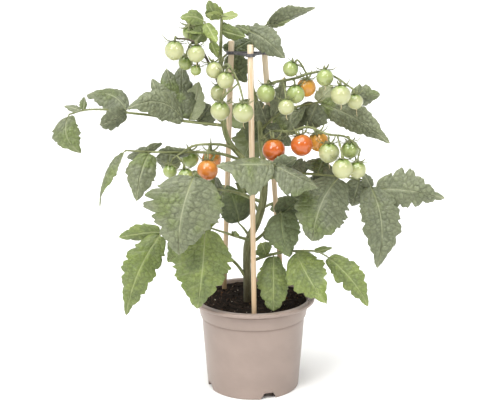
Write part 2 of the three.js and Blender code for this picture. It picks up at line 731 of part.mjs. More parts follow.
// a fruit's own stalk, and the star of pointed sepals that it ends in, on the fruit's top
function pedicelSolid({ middle, radius, from, up }) {
  const { pedicel, hub, sides, steps } = TRUSS;
  const seat = middle.clone().addScaledVector(up, radius + GAP);
  const collar = seat.clone().addScaledVector(up, CALYX.thick);
  const neck = seat.clone().addScaledVector(up, 2 * CALYX.thick);
  const knee = seat.clone().addScaledVector(up, 3 * CALYX.thick).lerp(from, 0.25);
  const path = new THREE.CatmullRomCurve3([from, knee, neck, collar], false, 'catmullrom', 0.5);
  const points = ringPoints(path, pedicel, hub, sides, steps);
  const faces = ringFaces(sides, steps);
  const first = steps * sides;
  const centre = points.push(seat) - 1;
  for (let i = 0; i < sides; i++) {
    const [a, b] = [first + i, first + ((i + 1) % sides)];
    const out = points[a].clone().add(points[b]).multiplyScalar(0.5).sub(collar).normalize();
    const tip = seat.clone().addScaledVector(out, radius * CALYX.reach);
    tip.addScaledVector(up, radius * CALYX.rise);
    const c = points.push(tip) - 1;
    faces.push([a, b, c], [b, centre, c], [centre, a, c]);
  }
  return solidOf(points, faces);
}

function addTruss(name, { stalk, fruits }, stem) {
  const curve = curveThrough(stalk);
  const last = stalk.length - 1;
  const solids = [tube(curve, TRUSS.root, TRUSS.tip, TRUSS.sides, last + 2)];
  fruits.forEach((fruit, i) => {
    const hang = hanging(curve, last, fruit);
    solids.push(pedicelSolid(hang));
    plant.add(fruitMesh(`${name.replace('truss', 'fruit')}_${i + 1}`, fruit[3], hang));
  });
  plant.add(piece(name, mainBody(joined(solids).subtract(stem)), 0x66734a, 0.7));
}

// ---------------------------------------------------------------- the whole object

function piece(name, solid, colour, roughness) {
  const material = new THREE.MeshStandardMaterial({ color: colour, roughness, metalness: 0 });
  const mesh = new THREE.Mesh(geometryOf(solid), material);
  mesh.name = name;
  return mesh;
}

const plant = new THREE.Group();
const group = new THREE.Group();
group.add(plant);

const canesGrown = Object.values(CANES).map((cane) => caneSolid(cane, GAP));
const stemGrown = stemTubes(GAP);

group.add(piece('pot', potSolid(), 0xb39f94, 0.55));
group.add(piece('soil', soilSolid(joined([...canesGrown, stemGrown])), 0x2e241d, 0.95));
for (const [name, cane] of Object.entries(CANES)) {
  const mesh = piece(name, solidOfGeometry(caneGeometry(cane)), 0xd9bd92, 0.65);
  mesh.position.copy(caneLine(cane).bottom);
  mesh.quaternion.copy(caneTurn(cane));
  group.add(mesh);
}
group.add(piece('clip', clipSolid(), 0x3c3c40, 0.6));

const shoot = SHOOT_TIP.leaflets.map(([place, tip, ...shape]) =>
  leafletSolid(curveThrough(SHOOT_TIP.spine).getPoint(place / 2), sighted(tip), ...shape));
plant.add(piece('stem', joined([stemTubes(), ...shoot]), 0x5c6b42, 0.7));
for (const [name, leaf] of Object.entries(LEAVES)) {
  plant.add(piece(name, leafSolid(leaf, stemGrown), leaf.colour, 0.75));
}
for (const [name, truss] of Object.entries(TRUSSES)) addTruss(name, truss, stemGrown);

export default group;
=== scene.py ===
"""Cherry tomato plant in a 14 cm grower's pot: the dressed model, built round its solid frame.

Forms are worked out in millimetres, +Z up, with the front towards -Y, and turned to metres when
their mesh is made. What grows is set out on the stem's plane as it looks from EYE: each point is
(x, z, depth), and its depth, negative towards the front, moves it along its line of sight.
"""

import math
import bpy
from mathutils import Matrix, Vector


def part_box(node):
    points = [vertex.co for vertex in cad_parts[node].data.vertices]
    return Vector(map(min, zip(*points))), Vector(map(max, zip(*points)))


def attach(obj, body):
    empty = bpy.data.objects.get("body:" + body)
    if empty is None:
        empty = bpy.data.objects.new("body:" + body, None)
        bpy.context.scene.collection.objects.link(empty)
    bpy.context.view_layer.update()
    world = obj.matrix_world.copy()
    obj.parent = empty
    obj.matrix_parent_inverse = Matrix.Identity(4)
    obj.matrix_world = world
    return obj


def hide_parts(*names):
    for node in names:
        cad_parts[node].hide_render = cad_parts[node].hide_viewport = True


bl_info = {
    "name": "Cherry tomato plant in a pot",
    "version": (1, 0, 0),
    "blender": (4, 5, 0),
    "location": "View3D > Sidebar > Tomato plant",
    "description": "Builds the dressed model of a potted cherry tomato plant round its solid frame",
    "category": "Add Mesh",
}

from functools import partial

import bmesh
import bpy
import numpy as np
from bpy.props import FloatProperty, FloatVectorProperty, IntProperty, PointerProperty
from mathutils import Vector, noise

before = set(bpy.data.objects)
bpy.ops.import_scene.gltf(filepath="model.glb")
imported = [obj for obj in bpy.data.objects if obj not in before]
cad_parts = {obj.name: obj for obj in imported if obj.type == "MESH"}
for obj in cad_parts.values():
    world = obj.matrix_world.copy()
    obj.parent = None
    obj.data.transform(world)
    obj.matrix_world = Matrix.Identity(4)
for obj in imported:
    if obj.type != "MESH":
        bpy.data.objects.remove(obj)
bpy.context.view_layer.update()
MM = 0.001
UP = np.array([0, 0, 1.0])

# ------------------------------------------------------------------ driving dimensions, mm

EYE = np.array([0.0, -1113.0, 471.0])

RIM_RADIUS = round(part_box("pot")[1].x / MM)
POT_HEIGHT = round(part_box("pot")[1].z / MM)
MOUTH_RADIUS = 63.0
POT_WALL = 1.6
BASE_RADIUS = 52.0
BODY_TOP_RADIUS = 58.6
BODY_TOP = 83.0
COLLAR_RADIUS = (60.3, 62.6)  # at its foot and at its head
FLANGE = 4.2
CENTRE_RADIUS = 24.0
CHANNEL = 8.0
FOOT_INNER = 49.1
FLOOR_THICK = 2.0
POT_SEGMENTS = 160
NOTCH = {"count": 4, "first": 19.5, "bottom": 18.5, "top": 10.5, "height": 7.4}
DRAIN = {"count": 6, "radius": 3.4, "at": 37.0}

SOIL_LEVEL = 98.0
SOIL_RINGS = 44
SPILLED = 16  # grains on the rim

CANE_RADIUS = 3.15
CANE_POINT = 24.0
CANE_BURY = 20.0
CANE_TAPER = (0.86, 1.04)  # of the radius, from the soil up
CLIP_HEIGHT = 378.0
# each cane: its place at the soil's level and at the clip, and its length above the clip
CANES = {
    "cane_front": ((1, -52), (-3, -21), 11),
    "cane_left": ((-34, 38), (-24, 10.5), 13),
    "cane_right": ((34, 38), (12.3, 10.5), 9),
}
CLIP = {"thick": 3.6, "collar": 5.4, "bar": 2.6, "corner": 0.4}

STEM_PATH = [
    (-7, 52, 0), (-6, 95, 0), (-7, 152, -2), (-4, 172, -3), (5, 192, -3), (11, 215, -2), (13, 245, 0),
]
STEM_ARMS = [
    [
        (13, 240, 0), (-10, 262, 0), (-27, 283, 0), (-33, 305, 0),
        (-36, 330, 0), (-35, 380, -1), (-33.5, 417, -3),
    ],
    [
        (12.5, 236, 0), (11, 262, 1), (8, 290, 1), (6, 318, 1),
        (-1, 342, 3), (-3, 370, 4), (-1, 396, 0),
    ],
]
# the radii of the stalks, most of them from root to tip
STEM = (4.6, 4.2)
ARM = (3.5, 1.5)
RACHIS = (1.9, 0.9)
TRUSS = (1.7, 1.0)
PEDICEL = 0.9
# mm from point to point along a stalk, its sides, how many hairs it has a mm, and how long they are
STALKS = {
    "stem": (3.0, 20, 5.0, 1.6), "leaf": (3.0, 12, 3.0, 1.1), "truss": (2.0, 12, 5.0, 1.1),
    "pedicel": (0.8, 10, 5.0, 0.9),
}
SEPAL_HAIRS = (4.0, 0.8)
HAIR_THICK = 0.1  # about twice a real hair's, so that it shows
CALYX_THICK = 1.5
GAP = 0.3
# rows and columns of points, then as shares of its radius the dimple under its calyx, the height of
# its ribs and half its own height
TOMATO = {"rows": 29, "columns": 40, "dimple": 0.16, "ribs": 0.014, "tall": 0.975}

# neck is half the width at the blade's root, stalk its bare share, lead and lobe how far along its
# lobe a notch and a lobe's tip come, and the last four set the outline from blunt to drawn out
BLADE = {
    "neck": 0.85, "stalk": 0.09, "lead": 0.1, "lobe": 0.72, "ripple": 0.04, "waves": 1.2,
    "blunt": 0.76, "drawn": 0.6, "full": 0.62, "hollow": 0.55,
}
# the blade's half thickness in its middle and how much less at its rim, then the midrib's groove above
# and rib below
BLADE_THICK = {"middle": 0.3, "rim": 0.13, "groove": 0.3, "rib": 0.85}
# how far apart the blade's swellings are, how much further with each mm of its width, and their height
SWELLINGS = {"apart": 3.8, "spread": 0.022, "height": 2.4}
# from lobe to lobe: the reach of its tip, how far it leans forward, and the depth of its notch
LOBE_RANGES = (0.9, 1.08), (-0.1, 0.1), (0.3, 1.6)
# what a leaflet's form is where it isn't given: sway, bow, fold and taper shape it, cut is the depth of its
# notches, tone runs from dark to light as painted shade and light (darker for a leaflet deep in the foliage,
# lighter for one in the open), and smooth leaves one edge nearly without notches
USUAL = {"sway": 0.0, "bow": 0.06, "fold": 0.22, "cut": 0.1, "taper": 1.0, "tone": 0.0, "smooth": 0}
PUFFED = {"dull": 1.0, "dark": 0.8, "fresh": 0.6}
SEPAL_LIFT = {"green": 0.25, "pale": 0.3, "turning": 0.5, "orange": 0.55, "ripe": 0.6}

# ------------------------------------------------------------------ what grows, set out in front view

# Leaves from the top of the plant down: colour, stalk from inside the stem outwards, and leaflets.
# Each leaflet is (place on the stalk by its points, tip, width, roll, lobes, its form).
LEAVES = {
    "leaf_top_left": ("fresh", [(-37, 374, -2), (-43, 387, -7), (-48, 398, -10), (-52, 412, -12)], [
        (3, (-78, 416, -22), 17, 20, 3, {"sway": 0.1, "tone": -0.1}),
        (2.9, (-66, 388, -16), 20, -8, 3, {"sway": -0.08, "tone": -0.3}),
        (2.9, (-39, 390, -22), 16, -15, 3, {"cut": 0.2, "tone": 0.5}),
        (1.4, (-38, 374, -10), 12, 20, 3, {"tone": 0.6}),
        (2.2, (-75, 400, -18), 9, 60, 3),
    ]),
    "leaf_top_right": ("dull", [(-1, 384, 2), (-2, 398, -4), (-5, 402, -9)], [
        (2, (34, 373, -30), 31, 8, 4, {"sway": -0.08, "bow": 0.1, "tone": -0.15}),
        (1.5, (-19, 408, 4), 12, 20, 3, {"cut": 0.2, "tone": -0.3}),
        (1, (-7, 408, 2), 13, -10, 3, {"cut": 0.2, "tone": -0.4}),
    ]),
    "leaf_top_narrow": ("dull", [(-3, 374, 4), (5, 400, 10), (11, 406, 11), (15, 409, 8)], [
        (3, (66, 427, 0), 28, 52, 5, {"sway": -0.15, "bow": 0.1, "cut": 0.16}),
        (1.6, (0, 407, 2), 12, 40, 3),
        (2.8, (40, 414, -2), 12, 30, 3, {"cut": 0.2, "tone": 1.0}),
    ]),
    "leaf_behind_clip": ("dark", [(-35, 362, 0), (-32, 374, 16), (-22, 381, 26)], [
        (2, (-3, 392, 32), 24, -10, 3),
        (1.6, (-24, 392, 24), 16, 10, 3),
        (1.7, (-7, 347, 24), 28, 10, 4, {"sway": 0.06}),
    ]),
    "leaf_upper_left": ("dull", [
        (-34, 300, 0), (-70, 304, -6), (-92, 307, -9), (-112, 311, -12), (-138, 314, -17), (-158, 317, -21),
        (-182, 317, -25), (-201, 312, -27),
    ], [
        (7, (-190, 269, -38), 31, 5, 4, {"sway": 0.2, "bow": 0.1, "fold": 0.3}),
        (6.3, (-206, 321, -20), 10, 30, 3),
        (6.2, (-184, 331, -16), 9, 20, 3, {"tone": -0.3}),
        (4, (-181, 333, -4), 34, 38, 4, {"sway": 0.22, "fold": 0.3, "taper": 0.4, "tone": 0.2}),
        (4, (-168, 301, -36), 27, -28, 3, {"taper": 0.4, "tone": -0.1}),
        (1.2, (-138, 318, -36), 34, 10, 5, {"sway": 0.2, "cut": 0.08, "tone": 0.35}),
        (1.7, (-110, 351, 4), 32, -15, 4, {"cut": 0.16, "tone": 0.15}),
        (1, (-59, 348, 6), 30, 160, 4, {"tone": 0.5}),
        (1.35, (-77, 366, 20), 32, 0, 3, {"tone": -0.35}),
        (0.7, (-47, 323, 16), 32, 0, 3, {"tone": -0.35}),
        (1.5, (-94, 362, 12), 34, 6, 3, {"tone": -0.35}),
    ]),
    "leaf_mid_left": ("dull", [
        (-6, 258, 0), (-24, 265, -4), (-40, 269, -7), (-60, 270, -10), (-100, 270, -15), (-141, 272, -20),
    ], [
        (5, (-171, 209, -34), 27, 70, 5, {"sway": 0.02, "bow": 0.1, "tone": 0.2}),
        (4.35, (-130, 215, -38), 33, 0, 4, {"sway": 0.05, "bow": 0.1, "cut": 0.05, "tone": 0.3}),
        (4.3, (-139, 264, 2), 18, 30, 3, {"tone": -0.2}),
        (4.5, (-100, 280, -4), 13, 40, 3),
        (3.8, (-95, 246, 2), 30, 0, 3, {"tone": 0.3}),
        (3.3, (-105, 271, -2), 20, -50, 3),
    ]),
    "leaf_centre_left": ("dull", [(9, 214, -3), (-20, 225, -24), (-44, 230, -58), (-64, 247, -80)], [
        (3, (-84, 153, -96), 80, 0, 6, {"sway": 0.06, "bow": 0.12, "fold": 0.2, "cut": 0.24, "smooth": 1}),
        (2, (-35, 227, -22), 30, -20, 3, {"tone": -0.3}),
    ]),
    "leaf_lower_left": ("fresh", [
        (-7, 124, 0), (-20, 143, -8), (-45, 163, -18), (-75, 176, -30), (-102, 180, -42),
    ], [
        (4, (-145, 81, -60), 40, 6, 6, {"sway": 0.05, "bow": 0.12, "cut": 0.15}),
        (4, (-151, 173, -34), 22, -20, 3, {"sway": 0.05}),
        (3, (-39, 195, -22), 20, 20, 3, {"tone": 0.3, "cut": 0.16}),
        (2.9, (-96, 144, -14), 28, 0, 3, {"tone": 0.1}),
    ]),
    "leaf_front_left": ("fresh", [(-4, 170, -4), (-18, 174, -22), (-36, 180, -40), (-54, 186, -50)], [
        (3, (-64, 89, -84), 64, -5, 6, {"sway": -0.01, "taper": 0.8, "bow": 0.1, "fold": 0.2}),
        (1.2, (-19, 180, -36), 10, 0, 3),
    ]),
    "leaf_inner_left": ("dark", [(-4, 174, -1), (-11, 184, 6), (-16, 189, 10)], [
        (2, (-29, 233, 12), 40, 0, 5, {"sway": 0.05, "cut": 0.05, "tone": -0.3}),
    ]),
    "leaf_centre": ("dull", [(12, 232, 0), (17, 241, -28), (24, 257, -56)], [
        (2, (-40, 255, -74), 54, 50, 4, {"sway": -0.06, "bow": 0.05, "fold": 0.5, "cut": 0.08, "tone": 0.25}),
        (1.9, (71, 230, -64), 40, -46, 4, {"sway": 0.06, "fold": 0.5, "cut": 0.08, "tone": -0.1}),
        (1.6, (48, 264, -44), 24, 30, 3),
    ]),
    "leaf_upper_right": ("dull", [(8, 294, 1), (22, 308, 2), (40, 318, -2), (70, 325, -5), (105, 331, -5)], [
        (3, (150, 280, -26), 34, 16, 5, {"sway": -0.07, "bow": 0.04, "cut": 0.04, "tone": 0.6}),
        (4, (138, 334, -2), 26, 25, 3, {"cut": 0.16}),
        (3, (86, 344, -2), 22, 150, 3, {"tone": 0.7}),
        (2.1, (39, 289, -2), 40, 10, 4, {"cut": 0.16, "taper": 0.4, "tone": 0.45}),
        (2.6, (36, 286, -14), 20, 66, 3, {"tone": 0.1}),
        (0.5, (5, 327, -4), 22, 10, 3, {"cut": 0.2, "tone": -0.3}),
        (3, (59, 298, -10), 38, 10, 3, {"taper": 0.5, "tone": 0.2}),
        (1, (34, 353, 2), 20, 20, 3, {"cut": 0.2, "tone": 0.1}),
        (0.3, (43, 278, 2), 24, 0, 3, {"tone": -0.8}),
    ]),
    "leaf_mid_right": ("dull", [
        (12, 240, 0), (50, 246, -8), (90, 243, -22), (111, 241, -26), (126, 237, -30), (132, 229, -34),
    ], [
        (2.2, (66, 169, -64), 62, 0, 6, {
            "sway": 0.08, "bow": 0.12, "fold": 0.2, "taper": 0.3, "cut": 0.12, "tone": -0.3,
        }),
        (4.3, (140, 137, -60), 45, 0, 5, {"sway": -0.1, "bow": 0.12, "cut": 0.16}),
        (5, (213, 218, -46), 45, 10, 6, {"sway": -0.05, "cut": 0.32}),
        (3.4, (110, 209, -12), 30, 0, 3, {"tone": -0.1}),
        (1.5, (78, 264, -2), 40, 0, 4, {"tone": -0.7}),
        (1.2, (38, 258, 8), 26, 0, 3, {"tone": -0.7}),
        (4.9, (121, 247, -30), 13, 10, 3),
        (2.2, (55, 232, 6), 30, 0, 3, {"tone": -0.6}),
    ]),
    "leaf_low_right": ("fresh", [
        (-6, 144, 0), (20, 153, -14), (45, 157, -26), (70, 157, -38), (83, 151, -44),
    ], [
        (2.1, (83, 95, -78), 46, 0, 5, {"sway": 0.03, "bow": 0.1, "cut": 0.16}),
        (3.9, (131, 92, -60), 30, 12, 5, {"sway": -0.08, "cut": 0.24, "taper": 0.8, "tone": -0.2}),
        (1.1, (23, 86, -52), 36, 0, 5, {"bow": 0.1, "taper": 0.15, "cut": 0.12, "tone": -0.25}),
        (2.9, (89, 161, -32), 9, 30, 3),
        (0.8, (9, 167, -24), 22, 10, 3, {"taper": 0.5, "tone": -0.6}),
    ]),
    "leaf_inner_right": ("dark", [(-3, 166, -3), (10, 176, -4), (22, 192, -10), (31, 203, -18)], [
        (3, (41, 150, -36), 42, 0, 4, {"sway": 0.05, "bow": 0.1, "cut": 0.06, "tone": 0.6}),
        (2.4, (58, 216, -4), 34, -10, 3, {"tone": 0.2}),
        (1, (31, 172, 6), 18, 140, 3),
    ]),
    "leaf_back_high": ("dark", [(8, 300, 1), (5, 312, 22), (12, 318, 52), (12, 314, 84), (6, 304, 110)], [
        (4, (-10, 262, 138), 44, 180, 4, {"bow": -0.1}),
        (3, (60, 304, 100), 34, 180, 3),
        (2.9, (-40, 306, 96), 34, 180, 3),
        (1.8, (44, 300, 50), 28, 180, 3),
        (1.8, (-22, 318, 56), 26, 180, 3),
        (0.7, (-14, 324, 10), 26, 10, 3, {"tone": 0.3}),
        (0.6, (-4, 279, 14), 30, 0, 3, {"tone": -0.3}),
    ]),
    "leaf_back_left": ("dark", [(7, 202, -2), (-8, 222, 32), (-40, 232, 58), (-70, 230, 84)], [
        (3, (-94, 176, 116), 46, 180, 4, {"bow": -0.1}),
        (2, (-92, 236, 46), 34, 180, 3),
        (2, (-28, 206, 92), 36, 180, 3),
        (1.1, (-6, 248, 44), 24, 180, 3),
    ]),
    "leaf_back_right": ("dark", [(5, 190, -2), (10, 206, 30), (40, 218, 62), (72, 214, 86)], [
        (3, (78, 176, 112), 46, 180, 4, {"bow": -0.1}),
        (2, (96, 226, 48), 34, 180, 3),
        (2, (30, 190, 92), 36, 180, 3),
        (1.4, (66, 196, 46), 24, 180, 3),
    ]),
}
# The young leaf at the shoot's tip is one with the stem.
SHOOT_TIP = ("fresh", [(-34, 402, -2), (-33, 411, -2), (-34, 417, -3)], [
    (2, (-48, 434, -8), 20, 12, 3, {"sway": -0.15, "tone": -0.5}),
    (2, (-16, 419, -6), 14, 140, 3, {"tone": 0.4}),
    (1.9, (-50, 420, -12), 13, 150, 3, {"tone": 0.5}),
    (0.4, (-26, 408, -4), 11, 0, 3, {"tone": 0.2}),
    (0.1, (-8, 396, -17), 15, 10, 3, {"tone": -0.3}),
    (0.2, (-18, 405, -10), 12, 10, 3, {"tone": -0.2}),
])

# Each truss has its stalk, from inside the stem outwards, and its fruits as
# (place on the stalk, centre, diameter, ripeness).
TRUSSES = {
    "truss_top": ([(-36, 343, 0), (-47, 366, -12), (-58, 386, -20), (-70, 393, -18), (-82, 394, -18)], [
        (4, (-85, 381, -29), 21.5, "pale"),
        (3, (-67, 401, 6), 18, "green"),
        (2.4, (-61.5, 377.5, -28), 19, "pale"),
        (2.6, (-73, 368, -8), 16, "green"),
        (1.4, (-62, 360, -22), 12, "green"),
        (0.8, (-42, 360, -26), 18.5, "pale"),
    ]),
    "truss_upper_left": ([
        (-36, 358, 0), (-29, 366, -14), (-24, 362, -30), (-16, 346, -44), (-12, 332, -50),
    ], [
        (2, (-30, 349, -37), 19, "pale"),
        (0.9, (-37.5, 336, -17), 18, "pale"),
        (3, (-36, 316, -36), 21.5, "pale"),
        (4, (-11, 314, -50), 23, "pale"),
    ]),
    "truss_upper_right": ([
        (2, 334, 2), (20, 346, -10), (44, 351, -18), (58, 356, -18), (76, 358, -15), (92, 351, -22),
        (103, 343, -26),
    ], [
        (3, (40.4, 361.5, -22), 17, "green"),
        (3.1, (57.6, 341.5, -8), 21, "turning"),
        (4, (77.7, 352, -32), 19, "green"),
        (5, (95.3, 333, -48), 22, "pale"),
        (6, (111, 326, -33), 17.5, "pale"),
        (1, (14, 335, -22), 20.5, "green"),
        (1.9, (46, 334, -29), 20.5, "green"),
        (1.5, (36, 320, -46), 18, "pale"),
    ]),
    "truss_lower_right": ([
        (9, 284, 0), (21, 293, -14), (41, 293, -28), (60, 298, -36), (82, 290, -38), (102, 287, -38),
        (118, 273, -46),
    ], [
        (1, (22.8, 272.5, -34), 25, "ripe"),
        (2, (53.3, 278, -42), 24.5, "ripe"),
        (3, (71.8, 282, -22), 22.5, "turning"),
        (4, (83.5, 269.5, -41), 23.5, "pale"),
        (5, (106.8, 273, -35), 20, "green"),
        (4.5, (98.7, 251.6, -60), 23, "pale"),
        (6, (115, 250.5, -46), 20, "pale"),
    ]),
    "truss_lower_left": ([
        (-19, 273, 0), (-32, 278, -14), (-48, 279, -20), (-66, 277, -20), (-84, 266, -26),
    ], [
        (2, (-50.5, 250, -49), 23.5, "orange"),
        (2, (-46, 262, 9), 21.5, "orange"),
        (3, (-70, 263, 8), 20, "green"),
        (4, (-92, 249, -24), 16, "green"),
        (4, (-74.5, 243, -38), 18, "green"),
    ]),
}

# upper face, its lighter blotches, underside, veins, and how yellow it is between its veins; the dark set is
# a shaded copy of the leaf colours, painted shade for the leaves behind and deep inside the foliage
LEAF_COLOURS = {
    "dull": ("686f54", "7c8160", "848a69", "b0b294", 0.35),
    "dark": ("576240", "6a7450", "747e50", "8d946c", 0.25),
    "fresh": ("677542", "829048", "8d985a", "b4b98a", 0.7),
}
# shoulder, body, blossom end, and how strong the streaks are
FRUIT_COLOURS = {
    "green": ("5a7824", "99a564", "a8af78", 0.6),
    "pale": ("708930", "adaf80", "b3b585", 0.6),
    "turning": ("cf9c40", "dc9a40", "d98b34", 0.2),
    "orange": ("b98432", "c2742c", "bf6022", 0.15),
    "ripe": ("b86e22", "b85818", "c05a1c", 0.15),
}


# ------------------------------------------------------------------ lines and surfaces


def unit(v):
    return v / np.linalg.norm(v, axis=-1, keepdims=True)


def smooth(value, start, end):
    t = np.clip((value - start) / (end - start), 0, 1)
    return t * t * (3 - 2 * t)


def nearness(depth):
    """How many times its drawn size a thing at `depth` has."""
    return 1 + depth / -EYE[1]


def sighted(point):
    """A point drawn as (x, z, depth), in its real place."""
    x, z, depth = point
    k = nearness(depth)
    return np.array([x * k, depth, EYE[2] + (z - EYE[2]) * k])


def on_line(points, places):
    """Points of the smooth line through `points`, at places counted by those points from 0."""
    p = np.array(points, float)
    p = np.vstack([2 * p[0] - p[1], p, 2 * p[-1] - p[-2]])
    places = np.atleast_1d(np.asarray(places, float))
    i = np.clip(places.astype(int), 0, len(points) - 2)
    f = (places - i)[:, None]
    before, start, end, after = p[i], p[i + 1], p[i + 2], p[i + 3]
    leave, arrive = 0.5 * (end - before), 0.5 * (after - start)
    return (
        (2 * f**3 - 3 * f**2 + 1) * start + (f**3 - 2 * f**2 + f) * leave
        + (3 * f**2 - 2 * f**3) * end + (f**3 - f**2) * arrive
    )


def run_along(line):
    """How far along a line each of its points lies."""
    return np.concatenate([[0], np.cumsum(np.linalg.norm(np.diff(line, axis=0), axis=1))])


def even_line(points, step):
    """The smooth line through `points`, with a point about every `step` mm."""
    fine = on_line(points, np.linspace(0, len(points) - 1, 16 * len(points)))
    run = run_along(fine)
    at = np.linspace(0, run[-1], max(4, int(run[-1] / step)) + 1)
    return np.stack([np.interp(at, run, fine[:, k]) for k in range(3)], axis=1)


def frames_along(line):
    """The direction of a line at each of its points, and two directions across it that don't twist."""
    along = unit(np.gradient(line, axis=0))
    across = np.array([0.3, 0.2, 0.1])
    sides = []
    for a in along:
        across = unit(across - a * (across @ a))
        sides.append(across)
    sides = np.array(sides)
    return along, sides, np.cross(along, sides)


def two_across(direction, hint=(0.31, 0.87, 0.12)):
    """Two directions across another one, square to each other; `hint` is one that neither follows."""
    across = unit(np.cross(direction, hint))
    return across, np.cross(direction, across)


def circle(sides):
    """The angles round a flat circle, and its points."""
    angle = np.linspace(0, 2 * math.pi, sides, endpoint=False)
    return angle, np.stack([np.cos(angle), np.sin(angle), 0 * angle], axis=-1)


def turned(profile, segments):
    """Rows of points: a profile of (radius, height), turned round the z axis."""
    profile = np.asarray(profile, float)[:, None]
    return profile[..., :1] * circle(segments)[1] + profile[..., 1:] * UP


def rounded(profile, radius, steps=3):
    """A profile whose corners are rounded off by `radius`, less where its sides are short."""
    points = [np.array(p, float) for p in profile]
    out = [points[0]]
    for before, corner, after in zip(points, points[1:], points[2:]):
        back, ahead = before - corner, after - corner
        cut = min(radius, 0.4 * np.linalg.norm(back), 0.4 * np.linalg.norm(ahead))
        a, b = corner + unit(back) * cut, corner + unit(ahead) * cut
        for t in np.linspace(0, 1, steps):
            out.append((1 - t) ** 2 * a + 2 * t * (1 - t) * corner + t**2 * b)
    return np.array([*out, points[-1]])


def grid_faces(rows, columns, start=0, closed=False, looped=False, ends=None):
    """Quads between rows of points. `closed` joins the last column to the first, and `looped` the
    last row to the first. `ends` is "flats", or "points" that follow the grid's own points.
    """
    faces = []
    for i in range(rows if looped else rows - 1):
        a, b = start + i * columns, start + (i + 1) % rows * columns
        for j in range(columns if closed else columns - 1):
            k = (j + 1) % columns
            faces.append((a + j, a + k, b + k, b + j))
    last, foot = (rows - 1) * columns, rows * columns
    if ends == "flats":
        faces += [tuple(range(columns))[::-1], tuple(range(last, foot))]
    if ends == "points":
        for j in range(columns):
            k = (j + 1) % columns
            faces += [(foot, k, j), (foot + 1, last + j, last + k)]
    return faces


def new_object(name, points, faces):
    """A mesh of points in metres, as an object of the scene."""
    mesh = bpy.data.meshes.new(name)
    mesh.from_pydata(points, [], faces)
    piece = bpy.data.objects.new(name, mesh)
    bpy.context.scene.collection.objects.link(piece)
    return piece


def face_outwards(mesh):
    shape = bmesh.new()
    shape.from_mesh(mesh)
    bmesh.ops.recalc_face_normals(shape, faces=shape.faces[:])
    shape.to_mesh(mesh)
    shape.free()


class Form:
    """The points, faces and surface marks of one piece, gathered in millimetres.

    Marks are three numbers a point that its material reads: `place` is where a point lies on the
    flat or unrolled surface in mm, with a seed, and `kind` and `vein` are named where they are made.
    """

    def __init__(self):
        self.points, self.faces, self.slots = [], [], []
        self.marks = {"place": [], "kind": [], "vein": []}
        self.count = 0

    def add(self, points, faces, slot=0, **marks):
        points = np.asarray(points, float).reshape(-1, 3)
        self.points.append(points)
        self.faces += [tuple(i + self.count for i in face) for face in faces]
        self.slots += [slot] * len(faces)
        for name, kept in self.marks.items():
            values = np.asarray(marks.get(name, (0, 0, 0)), float).reshape(-1, 3)
            kept.append(np.broadcast_to(values, points.shape))
        self.count += len(points)

    def make(self, name, materials, slot, nodes=(), sharp=None):
        """The piece, riding on the plant's one body and standing for `nodes`.

        It is smooth but for edges that turn by more than `sharp` degrees.
        """
        piece = new_object(name, (np.vstack(self.points) * MM).tolist(), self.faces)
        mesh = piece.data
        mesh.polygons.foreach_set("material_index", self.slots)
        for mark, kept in self.marks.items():
            attribute = mesh.attributes.new(mark, "FLOAT_VECTOR", "POINT")
            attribute.data.foreach_set("vector", np.vstack(kept).astype(np.float32).ravel())
        face_outwards(mesh)
        mesh.polygons.foreach_set("use_smooth", [True] * len(mesh.polygons))
        if sharp:
            mesh.set_sharp_from_angle(angle=math.radians(sharp))
        for material in materials:
            mesh.materials.append(material)
        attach(piece, "root")
        if nodes:
            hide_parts(*nodes)
        return piece


def add_tube(form, line, radii, sides=10, kind=(0, 0, 0), seed=0.0, ribs=0.0, rib_count=5, slot=0):
    """A round stalk along `line`, with a rounded end each way; `ribs` is the height of its ridges."""
    radii = np.broadcast_to(np.asarray(radii, float), len(line))
    along, across, other = frames_along(line)
    ends = [line[0] - along[0] * radii[0] * 0.5, line[-1] + along[-1] * radii[-1] * 0.6]
    line = np.vstack([[line[0]], line, [line[-1] + along[-1] * radii[-1] * 0.4]])
    radii = np.concatenate([[radii[0] * 0.6], radii, [radii[-1] * 0.6]])[:, None]
    across, other = (np.vstack([[v[0]], v, [v[-1]]])[:, None] for v in (across, other))
    angle, ring = circle(sides)
    reach = radii + ribs * np.cos(rib_count * angle) * (radii / radii.max())
    points = line[:, None] + (across * ring[:, :1] + other * ring[:, 1:2]) * reach[..., None]
    place = np.stack(np.broadcast_arrays(radii * angle, run_along(line)[:, None], seed), axis=-1)
    form.add(
        np.vstack([points.reshape(-1, 3), *ends]), grid_faces(len(line), sides, closed=True, ends="points"),
        slot, place=np.vstack([place.reshape(-1, 3), place[0, 0], place[-1, 0]]), kind=kind,
    )


def add_hairs(form, line, radii, per_mm, length, rng, slot=0):
    """Fine upright hairs on a stalk, each one a slim three-sided spike."""
    radii = np.broadcast_to(np.asarray(radii, float), len(line))
    along, across, other = frames_along(line)
    count = int(run_along(line)[-1] * per_mm)
    at = rng.uniform(0, len(line) - 1.001, count)
    i = at.astype(int)
    f = (at - i)[:, None]
    turn = rng.uniform(0, 2 * math.pi, count)[:, None]
    out = unit(across[i] * np.cos(turn) + other[i] * np.sin(turn))
    lean = unit(out + along[i] * rng.uniform(-0.3, 0.4, (count, 1)) + 0.2 * rng.normal(size=(count, 3)))
    root = line[i] * (1 - f) + line[i + 1] * f + out * radii[i][:, None] * 0.96
    side = unit(np.cross(lean, along[i])) * HAIR_THICK
    back = unit(np.cross(lean, side)) * HAIR_THICK
    length = length * bpy.context.scene.tomato_plant.hair
    tip = root + lean * length * rng.uniform(0.6, 1.2, (count, 1))
    points = np.stack([root + side, root - side * 0.5 + back, root - side * 0.5 - back, tip], axis=1)
    spike = (0, 1, 3), (1, 2, 3), (2, 0, 3), (0, 2, 1)
    faces = [tuple(4 * k + corner for corner in face) for k in range(count) for face in spike]
    form.add(points, faces, slot, place=points)


def tapering(root, tip):
    """A stalk's radius at any share of its length, from its root to its tip."""
    return lambda share: root + (tip - root) * share


